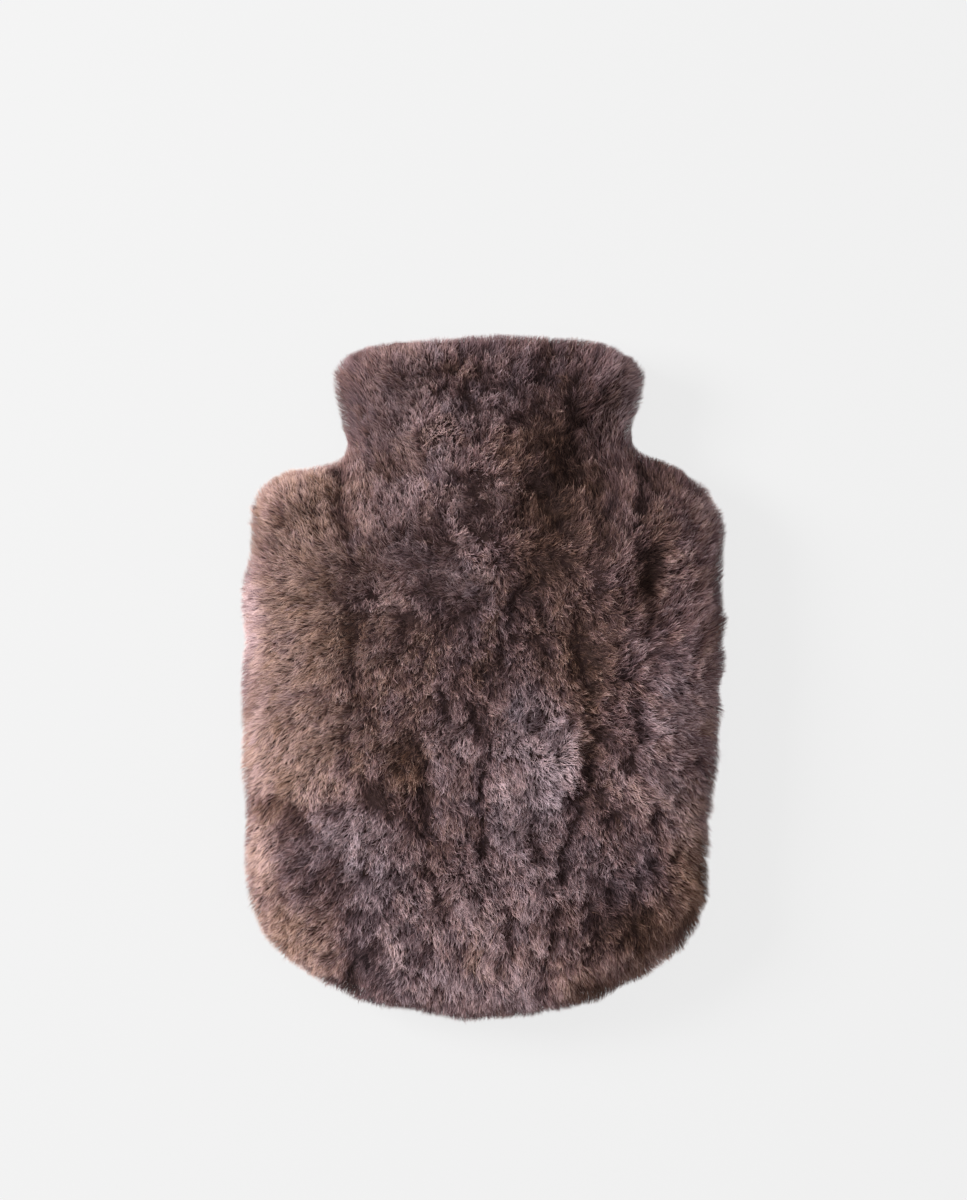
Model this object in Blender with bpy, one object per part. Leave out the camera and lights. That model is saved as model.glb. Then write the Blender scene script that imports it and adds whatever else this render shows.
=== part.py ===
"""Fur hot water bottle cover, lying on its back with its front face up.

Two sheepskin panels, a front and a back, meet at a seam that runs down the left
side, round the bottom and up the right side. The top of the neck is open. Each
panel is one solid of hide and pile together, so its outer face is where the pile
ends, with the hollows where the pile parts and the lumps where it bunches up.

Metres, +Z up. +Y runs from the bottom to the neck, +X is on the right of the
front face as it is seen from above, and Z is zero on the surface below.
"""

import math
from typing import NamedTuple

import bmesh
import bpy
from mathutils import Vector, noise

MM = 0.001

# Walls
WALL = 12.0 * MM  # hide and pile together
SEAM_GAP = 0.3 * MM  # between the two panels

# Mouth of the neck
MOUTH_SIDE_UP = 164.5 * MM  # where the seam ends
MOUTH_RISE = 7.0 * MM  # from there up to the middle of the mouth
MOUTH_REACH = 60.0 * MM  # the lines below the mouth follow its curve this far down
MOUTH_SQUARENESS = 5.0  # how tightly the mouth's corners turn
BODY_SQUARENESS = 2.0  # the same of the lines over the body
LIP_INSET = 9.0 * MM  # how far the edge of the lip lies in from the outer face
LIP_OUTER_REACH = 14.0 * MM  # how far the lip's rounding runs down the outer face
LIP_INNER_REACH = 4.0 * MM  # the same down the inner face

# Bottom of the body: its outline is measured round this point on the middle line
HEEL_UP = -70.0 * MM

# Fineness of the panels
LIP_ROWS = 4
SIDE_ROWS = 40
HEEL_SPOKES = 50
RINGS = 18
RIM_CROWDING = 1.5  # how much closer the rings lie near the seam
RIM_SAMPLES = 400  # for measuring the rim's length
SIDE_STEP = 0.5 * MM  # the outline's direction is read between points this far each way
HEEL_STEP = 0.5  # the same in degrees
INNER_FLATNESS = math.radians(3)  # inner faces that differ by less than this are made one

# Forms of the two faces between the seam and the middle line
FRONT_FULLNESS = 3.0
BACK_TURN = 0.30  # share of the back's half width that turns up to the seam

# Lumps and locks of the pile
LUMP = 6.0 * MM
LUMP_PITCH = 26.0 * MM
LOCK = 3.0 * MM
LOCK_WIDTH = 13.0 * MM
LOCK_LENGTH = 30.0 * MM
RIM_LOCK = 2.2 * MM
RIM_LOCK_PITCH = 11.0 * MM
RIM_FADE = 0.16  # share of the half width over which the lumps die out at the seam
SOFTENED_FROM = 0.05  # points with more than this share of the relief are softened
SOFTENING = 0.5
HEEL_CALM = 7.0 * MM  # no relief this near the heel point, where all the bottom's lines meet
HEEL_SOFTENED = 30.0 * MM  # and full relief from here on
HEEL_SOFTENING_PASSES = 5
FLOOR_CLEARANCE = 6.0 * MM  # lumps die out on what lies this near the surface below

WELD = 0.002 * MM


class SideRow(NamedTuple):
    """Where the outline's two sides lie at one height."""

    up: float
    left: float
    right: float


class HeelSpoke(NamedTuple):
    """How far the outline lies from the heel point in one direction, in degrees."""

    angle: float
    reach: float


class HeightRow(NamedTuple):
    """How high the seam and the crown of the front lie at one height."""

    up: float
    seam: float
    crown: float


class Furrow(NamedTuple):
    """A hollow where the pile parts, from one point to another."""

    from_across: float
    from_up: float
    to_across: float
    to_up: float
    width: float
    depth: float


class Tuft(NamedTuple):
    """A place where the pile bunches up."""

    across: float
    up: float
    radius: float
    height: float


# The tables are in millimetres.
SIDES = (
    SideRow(up=165.0, left=-71.5, right=76.5),
    SideRow(up=155.0, left=-74.0, right=80.0),
    SideRow(up=147.0, left=-75.3, right=81.0),
    SideRow(up=136.0, left=-74.5, right=79.5),
    SideRow(up=124.0, left=-71.0, right=75.5),
    SideRow(up=114.0, left=-71.5, right=78.0),
    SideRow(up=108.0, left=-78.0, right=88.0),
    SideRow(up=102.0, left=-94.0, right=103.0),
    SideRow(up=95.0, left=-107.5, right=112.0),
    SideRow(up=87.0, left=-114.5, right=117.0),
    SideRow(up=76.0, left=-116.5, right=120.5),
    SideRow(up=56.0, left=-118.5, right=121.0),
    SideRow(up=38.0, left=-121.0, right=120.0),
    SideRow(up=17.0, left=-119.0, right=121.2),
    SideRow(up=-5.0, left=-120.5, right=119.0),
    SideRow(up=-30.0, left=-121.0, right=118.5),
    SideRow(up=-56.0, left=-121.5, right=116.5),
    SideRow(up=-70.0, left=-119.5, right=114.3),
)
HEEL = (
    HeelSpoke(angle=180.0, reach=119.5),
    HeelSpoke(angle=189.0, reach=121.2),
    HeelSpoke(angle=198.0, reach=123.6),
    HeelSpoke(angle=208.0, reach=124.0),
    HeelSpoke(angle=217.0, reach=120.5),
    HeelSpoke(angle=229.0, reach=113.0),
    HeelSpoke(angle=243.0, reach=105.8),
    HeelSpoke(angle=261.0, reach=101.0),
    HeelSpoke(angle=283.0, reach=101.3),
    HeelSpoke(angle=300.0, reach=106.3),
    HeelSpoke(angle=316.0, reach=113.6),
    HeelSpoke(angle=330.0, reach=120.4),
    HeelSpoke(angle=343.0, reach=118.6),
    HeelSpoke(angle=351.0, reach=115.3),
    HeelSpoke(angle=360.0, reach=114.3),
)
HEIGHTS = (
    HeightRow(up=172.0, seam=25.0, crown=53.0),
    HeightRow(up=140.0, seam=26.0, crown=55.0),
    HeightRow(up=112.0, seam=27.5, crown=58.0),
    HeightRow(up=80.0, seam=29.5, crown=64.0),
    HeightRow(up=30.0, seam=30.0, crown=68.0),
    HeightRow(up=-30.0, seam=30.0, crown=68.0),
    HeightRow(up=-70.0, seam=30.0, crown=66.0),
)
FURROWS = (
    Furrow(from_across=28, from_up=45, to_across=51, to_up=8, width=8, depth=4.5),
    Furrow(from_across=51, from_up=8, to_across=57, to_up=-36, width=8, depth=4.5),
    Furrow(from_across=57, from_up=-36, to_across=42, to_up=-106, width=8, depth=3.5),
    Furrow(from_across=-29, from_up=-34, to_across=-26, to_up=-78, width=7, depth=3.5),
    Furrow(from_across=-64, from_up=110, to_across=-67, to_up=78, width=12, depth=4.0),
    Furrow(from_across=-67, from_up=78, to_across=-54, to_up=38, width=10, depth=3.5),
    Furrow(from_across=74, from_up=106, to_across=52, to_up=96, width=11, depth=4.5),
    Furrow(from_across=86, from_up=60, to_across=87, to_up=36, width=9, depth=3.0),
    Furrow(from_across=-37, from_up=13, to_across=-43, to_up=-13, width=8, depth=2.5),
    Furrow(from_across=8, from_up=60, to_across=24, to_up=28, width=8, depth=2.5),
)
TUFTS = (
    Tuft(across=44, up=-34, radius=13, height=3.5),
    Tuft(across=22, up=-28, radius=11, height=2.0),
    Tuft(across=-28, up=-24, radius=11, height=2.5),
    Tuft(across=-6, up=-10, radius=14, height=2.0),
    Tuft(across=8, up=96, radius=15, height=2.5),
    Tuft(across=-22, up=146, radius=14, height=2.0),
    Tuft(across=-94, up=50, radius=12, height=2.5),
    Tuft(across=78, up=-56, radius=13, height=2.5),
    Tuft(across=-48, up=-136, radius=12, height=2.5),
    Tuft(across=70, up=62, radius=16, height=2.5),
    Tuft(across=-84, up=-20, radius=16, height=2.0),
    Tuft(across=12, up=-128, radius=14, height=2.0),
)

# Finish
PILE_COLOUR = (0.13, 0.095, 0.085)
PILE_ROUGHNESS = 0.95


class Spoke(NamedTuple):
    """A line over a panel from its rim to the middle line."""

    rim: Vector
    outwards: Vector
    middle: Vector
    squareness: float
    below_mouth: float
    seam: float
    crown: float


def curve_through(keys, values, key):
    """Read a smooth curve through the points (keys, values), whose keys rise."""
    key = min(max(key, keys[0]), keys[-1])
    last = len(keys) - 1
    span = next(index for index in range(last) if key <= keys[index + 1])

    def slope(index):
        before = max(index - 1, 0)
        after = min(index + 1, last)
        return (values[after] - values[before]) / (keys[after] - keys[before])

    length = keys[span + 1] - keys[span]
    share = (key - keys[span]) / length
    ease = share * share * (3 - 2 * share)
    start_pull = share * (1 - share) ** 2 * length * slope(span)
    end_pull = share * share * (1 - share) * length * slope(span + 1)
    return values[span] + (values[span + 1] - values[span]) * ease + start_pull - end_pull


def read_table(table, column, key):
    """Read a column of a table in millimetres at a key in its first column's unit."""
    rows = sorted(table)
    keys = [row[0] for row in rows]
    values = [getattr(row, column) for row in rows]
    return curve_through(keys, values, key) * MM


def side_point(side, up):
    """The outline's left or right point at one height."""
    return Vector((read_table(SIDES, side, up / MM), up))


def heel_point(angle):
    """The outline's point in one direction from the heel point, in degrees."""
    reach = read_table(HEEL, "reach", angle)
    turn = math.radians(angle)
    return Vector((reach * math.cos(turn), HEEL_UP + reach * math.sin(turn)))


def lip_ups():
    """Heights of the rows that round the lip."""
    steps = [1 - math.cos(math.pi / 2 * row / LIP_ROWS) for row in range(LIP_ROWS)]
    return [MOUTH_SIDE_UP - LIP_OUTER_REACH * step for step in steps]


def side_ups():
    """Heights of the rows below the lip, evenly spread along the rim."""
    top = MOUTH_SIDE_UP - LIP_OUTER_REACH
    ups = [top + (HEEL_UP - top) * sample / RIM_SAMPLES for sample in range(RIM_SAMPLES + 1)]
    lengths = [0.0]
    for upper, lower in zip(ups, ups[1:]):
        left = (side_point("left", lower) - side_point("left", upper)).length
        right = (side_point("right", lower) - side_point("right", upper)).length
        lengths.append(lengths[-1] + (left + right) / 2)
    return [curve_through(lengths, ups, lengths[-1] * row / SIDE_ROWS) for row in range(SIDE_ROWS)]


def outwards_at(point_before, point_after):
    """The outline's outward direction between two of its points, going anticlockwise."""
    along = (point_after - point_before).normalized()
    return Vector((along.y, -along.x))


def uneven(point, outwards):
    """The outline's point moved in or out by the locks of pile on it."""
    where = Vector((point.x, point.y, 0)) / RIM_LOCK_PITCH
    return point + outwards * RIM_LOCK * noise.noise(where)


def side_spoke(side, up, middle_up):
    """The line from one side of the cover to the middle line."""
    upper = side_point(side, up + SIDE_STEP)
    lower = side_point(side, up - SIDE_STEP)
    outwards = outwards_at(upper, lower) if side == "left" else outwards_at(lower, upper)
    below_mouth = MOUTH_SIDE_UP - up
    corner = max(0.0, 1 - below_mouth / MOUTH_REACH)
    squareness = BODY_SQUARENESS + (MOUTH_SQUARENESS - BODY_SQUARENESS) * corner
    rim = uneven(side_point(side, up), outwards)
    seam = read_table(HEIGHTS, "seam", up / MM)
    crown = read_table(HEIGHTS, "crown", middle_up / MM)
    return Spoke(rim, outwards, Vector((0, middle_up)), squareness, below_mouth, seam, crown)


def heel_spoke(angle):
    """The line from the bottom of the cover to the heel point."""
    outwards = outwards_at(heel_point(angle - HEEL_STEP), heel_point(angle + HEEL_STEP))
    seam = read_table(HEIGHTS, "seam", HEEL_UP / MM)
    crown = read_table(HEIGHTS, "crown", HEEL_UP / MM)
    rim = uneven(heel_point(angle), outwards)
    return Spoke(rim, outwards, Vector((0, HEEL_UP)), 1.0, MOUTH_SIDE_UP - HEEL_UP, seam, crown)


def cover_spokes():
    """All the lines, from the mouth down the left side, round the bottom and up to the mouth."""
    lip_rows = [(up, up + MOUTH_RISE) for up in lip_ups()]
    top = MOUTH_SIDE_UP - LIP_OUTER_REACH + MOUTH_RISE
    side_rows = [(up, top + (HEEL_UP - top) * row / SIDE_ROWS) for row, up in enumerate(side_ups())]
    rows = lip_rows + side_rows
    left = [side_spoke("left", up, middle_up) for up, middle_up in rows]
    right = [side_spoke("right", up, middle_up) for up, middle_up in reversed(rows)]
    turn = 180.0 / HEEL_SPOKES
    heel = [heel_spoke(180.0 + turn * spoke) for spoke in range(HEEL_SPOKES + 1)]
    return left + heel + right


def plan_point(spoke, share, inset):
    """A place in plan, from the rim (share 0) to the middle line (share 1)."""
    base = spoke.rim - spoke.outwards * inset
    rise = (spoke.middle.y - spoke.rim.y) * (1 - (1 - share) ** spoke.squareness)
    across = base.x + (spoke.middle.x - base.x) * share
    up = spoke.rim.y + (base.y - spoke.rim.y) * (1 - share) + rise
    return across, up


def front_height(spoke, share, inset):
    """Height of the front's face, domed from the seam to the crown."""
    foot = spoke.seam + SEAM_GAP / 2
    dome = math.sqrt(1 - (1 - share) ** FRONT_FULLNESS)
    return foot + (spoke.crown - inset - foot) * dome


def back_height(spoke, share, inset):
    """Height of the back's face, flat below and turned up to the seam."""
    top = spoke.seam - SEAM_GAP / 2
    turned = max(0.0, 1 - share / BACK_TURN)
    return top - (top - inset) * math.sqrt(1 - turned * turned)


def lip_turn(spoke, reach):
    """How far the lip's rounding has turned in at a line, from 1 at the mouth to 0 at its reach."""
    above = max(0.0, 1 - spoke.below_mouth / reach)
    return 1 - math.sqrt(1 - above * above)


def wall_inset(spoke, outside):
    """How far the outer or inner face lies in from the pile's full reach."""
    if outside:
        return LIP_INSET * lip_turn(spoke, LIP_OUTER_REACH)
    return WALL - (WALL - LIP_INSET) * lip_turn(spoke, LIP_INNER_REACH)


def ease_between(low, high, value):
    """Rise smoothly from 0 at low to 1 at high."""
    share = min(max((value - low) / (high - low), 0.0), 1.0)
    return share * share * (3 - 2 * share)


def relief_share(spoke, share, height):
    """How much of the pile's relief shows, none at the seam, the lip and the surface below."""
    off_seam = ease_between(0, RIM_FADE, share)
    off_lip = ease_between(0, LIP_OUTER_REACH, spoke.below_mouth)
    off_surface = ease_between(0, FLOOR_CLEARANCE, height)
    return off_seam * off_lip * off_surface


def wrapped_panel(spokes, height_at):
    """Wrap a grid over a panel's outer face, its rim and its inner face, and close it."""
    shares = [(ring / RINGS) ** RIM_CROWDING for ring in range(RINGS + 1)]
    outer_columns = len(shares)
    last_column = 2 * outer_columns - 1
    last_spoke = len(spokes) - 1
    panel = bmesh.new()
    bmesh.ops.create_grid(panel, x_segments=last_spoke, y_segments=last_column, size=1)
    relief = panel.verts.layers.float.new("relief")
    inner = panel.verts.layers.int.new("inner")
    for vertex in panel.verts:
        spoke = spokes[round((vertex.co.x + 1) / 2 * last_spoke)]
        column = round((vertex.co.y + 1) / 2 * last_column)
        outside = column < outer_columns
        share = shares[outer_columns - 1 - column] if outside else shares[column - outer_columns]
        inset = wall_inset(spoke, outside)
        height = height_at(spoke, share, inset)
        vertex.co = (*plan_point(spoke, share, inset), height)
        vertex[relief] = relief_share(spoke, share, height) if outside else 0.0
        vertex[inner] = not outside
    bmesh.ops.remove_doubles(panel, verts=panel.verts, dist=WELD)
    bmesh.ops.recalc_face_normals(panel, faces=panel.faces)
    return panel


def furrow_depth(furrow, place):
    """How deep a furrow is at a place in plan."""
    start = Vector((furrow.from_across, furrow.from_up)) * MM
    run = Vector((furrow.to_across, furrow.to_up)) * MM - start
    share = min(max((place - start).dot(run) / run.length_squared, 0.0), 1.0)
    away = (place - start - run * share).length / (furrow.width * MM)
    return furrow.depth * MM * math.exp(-away * away)


def tuft_height(tuft, place):
    """How high a tuft stands at a place in plan."""
    away = (place - Vector((tuft.across, tuft.up)) * MM).length / (tuft.radius * MM)
    return tuft.height * MM * math.exp(-away * away)


def pile_relief(spot):
    """How far the pile's lumps and its long locks stand out at a spot."""
    in_locks = Vector((spot.x / LOCK_WIDTH, spot.y / LOCK_LENGTH, spot.z / LOCK_WIDTH))
    return LUMP * noise.noise(spot / LUMP_PITCH) + LOCK * noise.noise(in_locks)


def front_relief(spot):
    """How far the pile of the front stands out at a spot, with its tufts and furrows."""
    raised = sum(tuft_height(tuft, spot.xy) for tuft in TUFTS)
    sunk = max(furrow_depth(furrow, spot.xy) for furrow in FURROWS)
    return pile_relief(spot) + raised - sunk


def soften(panel, verts, passes, sideways):
    """Move each of these points towards its neighbours, in plan too where sideways is true."""
    for _ in range(passes):
        bmesh.ops.smooth_vert(
            panel,
            verts=verts,
            factor=SOFTENING,
            use_axis_x=sideways,
            use_axis_y=sideways,
            use_axis_z=True,
        )


def ruffle(panel, relief_at):
    """Move a panel's outer points along their normals by the relief of the pile."""
    relief = panel.verts.layers.float["relief"]
    heel = Vector((0, HEEL_UP))
    panel.normal_update()
    moves = []
    for vertex in panel.verts:
        off_heel = ease_between(HEEL_CALM, HEEL_SOFTENED, (vertex.co.xy - heel).length)
        moves.append(vertex.normal * off_heel * vertex[relief] * relief_at(vertex.co))
    for vertex, move in zip(panel.verts, moves):
        vertex.co += move
    near_heel = []
    elsewhere = []
    for vertex in panel.verts:
        if vertex[relief] > SOFTENED_FROM:
            is_near = (vertex.co.xy - heel).length < HEEL_SOFTENED
            (near_heel if is_near else elsewhere).append(vertex)
    soften(panel, elsewhere, passes=1, sideways=True)
    soften(panel, near_heel, passes=HEEL_SOFTENING_PASSES, sideways=False)


def simplify_inside(panel):
    """Make one face of the inner faces that lie almost in one plane."""
    inner = panel.verts.layers.int["inner"]
    verts = [vertex for vertex in panel.verts if vertex[inner]]
    edges = [edge for edge in panel.edges if all(vertex[inner] for vertex in edge.verts)]
    bmesh.ops.dissolve_limit(panel, angle_limit=INNER_FLATNESS, verts=verts, edges=edges)


def flatten_base(panel):
    """Make one flat face of all that lies on the surface below."""
    base = [face for face in panel.faces if all(abs(vertex.co.z) < WELD for vertex in face.verts)]
    bmesh.ops.dissolve_faces(panel, faces=base, use_verts=True)


def centre(panels):
    """Move the panels so that their common box is centred on the origin in plan."""
    spots = [vertex.co for panel in panels for vertex in panel.verts]
    across = [spot.x for spot in spots]
    up = [spot.y for spot in spots]
    middle = Vector((min(across) + max(across), min(up) + max(up), 0)) / 2
    for panel in panels:
        bmesh.ops.translate(panel, verts=panel.verts, vec=-middle)


def sheepskin(name):
    """The pile's plain colour and finish."""
    material = bpy.data.materials.new(name)
    material.use_nodes = True
    shader = material.node_tree.nodes["Principled BSDF"]
    shader.inputs["Base Color"].default_value = (*PILE_COLOUR, 1)
    shader.inputs["Roughness"].default_value = PILE_ROUGHNESS
    shader.inputs["Metallic"].default_value = 0
    return material


def add_object(panel, name, collection):
    """Put a panel in the scene as a smooth object with its own material."""
    mesh = bpy.data.meshes.new(name)
    panel.to_mesh(mesh)
    panel.free()
    mesh.shade_smooth()
    mesh.materials.append(sheepskin(name + "_pile"))
    collection.objects.link(bpy.data.objects.new(name, mesh))


def main():
    """Model the cover."""
    for thing in list(bpy.data.objects):
        bpy.data.objects.remove(thing, do_unlink=True)
    cover = bpy.data.collections.new("hot_water_bottle_cover")
    bpy.context.scene.collection.children.link(cover)
    spokes = cover_spokes()
    front = wrapped_panel(spokes, front_height)
    ruffle(front, front_relief)
    back = wrapped_panel(spokes, back_height)
    ruffle(back, pile_relief)
    flatten_base(back)
    for panel in (front, back):
        simplify_inside(panel)
    centre((front, back))
    add_object(front, "front_panel", cover)
    add_object(back, "back_panel", cover)


main()
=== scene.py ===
"""Looks of the sheepskin hot water bottle cover that lies on its back.

Each panel is a sheepskin: a hide that shows inside the neck, a matted undercoat on it, and
the combed fleece, whose hairs are short tapered ribbons that root in the undercoat and reach
out to where the pile ends. The hairs hang together in tufts, and the tufts in locks.
"""

from __future__ import annotations

import logging
import math
from dataclasses import dataclass, field
from enum import Enum

import bmesh
import bpy
import numpy as np
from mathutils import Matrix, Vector, noise
from mathutils.bvhtree import BVHTree
from mathutils.kdtree import KDTree


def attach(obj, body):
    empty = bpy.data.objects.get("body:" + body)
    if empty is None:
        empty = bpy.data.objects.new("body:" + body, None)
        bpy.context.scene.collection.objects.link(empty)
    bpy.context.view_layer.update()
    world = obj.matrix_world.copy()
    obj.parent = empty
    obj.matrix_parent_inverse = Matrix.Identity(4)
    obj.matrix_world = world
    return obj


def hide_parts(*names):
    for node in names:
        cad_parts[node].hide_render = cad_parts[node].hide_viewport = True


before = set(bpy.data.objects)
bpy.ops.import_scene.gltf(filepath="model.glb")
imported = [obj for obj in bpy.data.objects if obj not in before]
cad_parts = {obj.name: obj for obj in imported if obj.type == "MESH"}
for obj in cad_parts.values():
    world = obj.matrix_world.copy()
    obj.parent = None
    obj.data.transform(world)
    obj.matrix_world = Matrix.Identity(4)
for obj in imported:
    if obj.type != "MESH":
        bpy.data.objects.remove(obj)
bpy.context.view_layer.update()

LOG = logging.getLogger("bottle_cover")
MM = 0.001
TINY_LENGTH = 1e-12  # keeps what has no length from being divided by nothing
WELD = 0.002 * MM  # points of a solid that are nearer than this are one
EVENING = 0.4  # how far each pass moves a point of a face towards its neighbours
BODY = "root"
HAIR_MAP = "OFBake"  # across it runs the wool's hue, and up it how light the wool is

Colour = tuple[float, float, float]
Stops = tuple[tuple[float, Colour], ...]

# How the photograph is placed on the cover, seen from straight above
PIXEL = 0.5 * MM
PHOTO_SIZE = (967, 1200)
MIDDLE_PIXEL = (483.5, 677.0)  # over the frame's origin

# The cover's hollow, from which each panel's faces look outwards or inwards
BODY_HALF = 85 * MM
NECK_HALF = 50 * MM
HEEL_UP = -120 * MM
SHOULDER_UP = 88 * MM
NECK_UP = 140 * MM
SEAM_UP = 30 * MM
FRONT_EYE_UP = 22 * MM
BACK_EYE_UP = 34 * MM


# ---------------------------------------------------------------- tables of the fleece


@dataclass(frozen=True)
class Stroke:
    """Which way the fleece is combed round a point: 0 is to the right and 90 to the neck."""

    across: float
    up: float
    heading: float
    reach: float


@dataclass(frozen=True)
class Patch:
    """A place where the wool's hue and lightness change, partly its own colour and partly painted
    light and shade.
    """

    across: float
    up: float
    wide: float
    tall: float
    hue: float
    tone: float
    turn: float = 0.0


@dataclass(frozen=True)
class Spot:
    """A place where the fleece is brushed, curls, or is longer than the panel's solid says."""

    across: float
    up: float
    wide: float
    tall: float
    strength: float


@dataclass(frozen=True)
class Line:
    """A line along which the fleece parts, where painted shade darkens it, or a light lock lies, whose
    lightness is partly a painted highlight.
    """

    from_across: float
    from_up: float
    to_across: float
    to_up: float
    width: float
    strength: float


# In millimetres and degrees, from the frame's origin. Each row fades out over its reach or size.
STROKES = (
    Stroke(across=-60, up=150, heading=100, reach=22),
    Stroke(across=0, up=150, heading=80, reach=24),
    Stroke(across=62, up=150, heading=65, reach=22),
    Stroke(across=-52, up=115, heading=105, reach=22),
    Stroke(across=4, up=112, heading=60, reach=20),
    Stroke(across=50, up=112, heading=150, reach=18),
    Stroke(across=-95, up=84, heading=118, reach=26),
    Stroke(across=-60, up=72, heading=80, reach=18),
    Stroke(across=-12, up=72, heading=120, reach=20),
    Stroke(across=30, up=72, heading=60, reach=20),
    Stroke(across=72, up=84, heading=86, reach=22),
    Stroke(across=105, up=74, heading=52, reach=24),
    Stroke(across=-24, up=50, heading=185, reach=13),
    Stroke(across=14, up=53, heading=350, reach=13),
    Stroke(across=-96, up=34, heading=192, reach=28),
    Stroke(across=-45, up=30, heading=230, reach=20),
    Stroke(across=0, up=30, heading=262, reach=24),
    Stroke(across=40, up=34, heading=300, reach=18),
    Stroke(across=92, up=34, heading=36, reach=24),
    Stroke(across=-98, up=-14, heading=214, reach=26),
    Stroke(across=-50, up=-16, heading=250, reach=24),
    Stroke(across=-4, up=-16, heading=268, reach=22),
    Stroke(across=40, up=-34, heading=62, reach=11),
    Stroke(across=30, up=-62, heading=286, reach=16),
    Stroke(across=72, up=-24, heading=322, reach=20),
    Stroke(across=104, up=-14, heading=342, reach=22),
    Stroke(across=-98, up=-66, heading=236, reach=28),
    Stroke(across=-50, up=-70, heading=262, reach=28),
    Stroke(across=0, up=-76, heading=270, reach=26),
    Stroke(across=62, up=-74, heading=296, reach=24),
    Stroke(across=102, up=-72, heading=300, reach=24),
    Stroke(across=-86, up=-118, heading=218, reach=28),
    Stroke(across=-40, up=-130, heading=258, reach=28),
    Stroke(across=10, up=-135, heading=272, reach=28),
    Stroke(across=70, up=-122, heading=292, reach=30),
)
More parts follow.
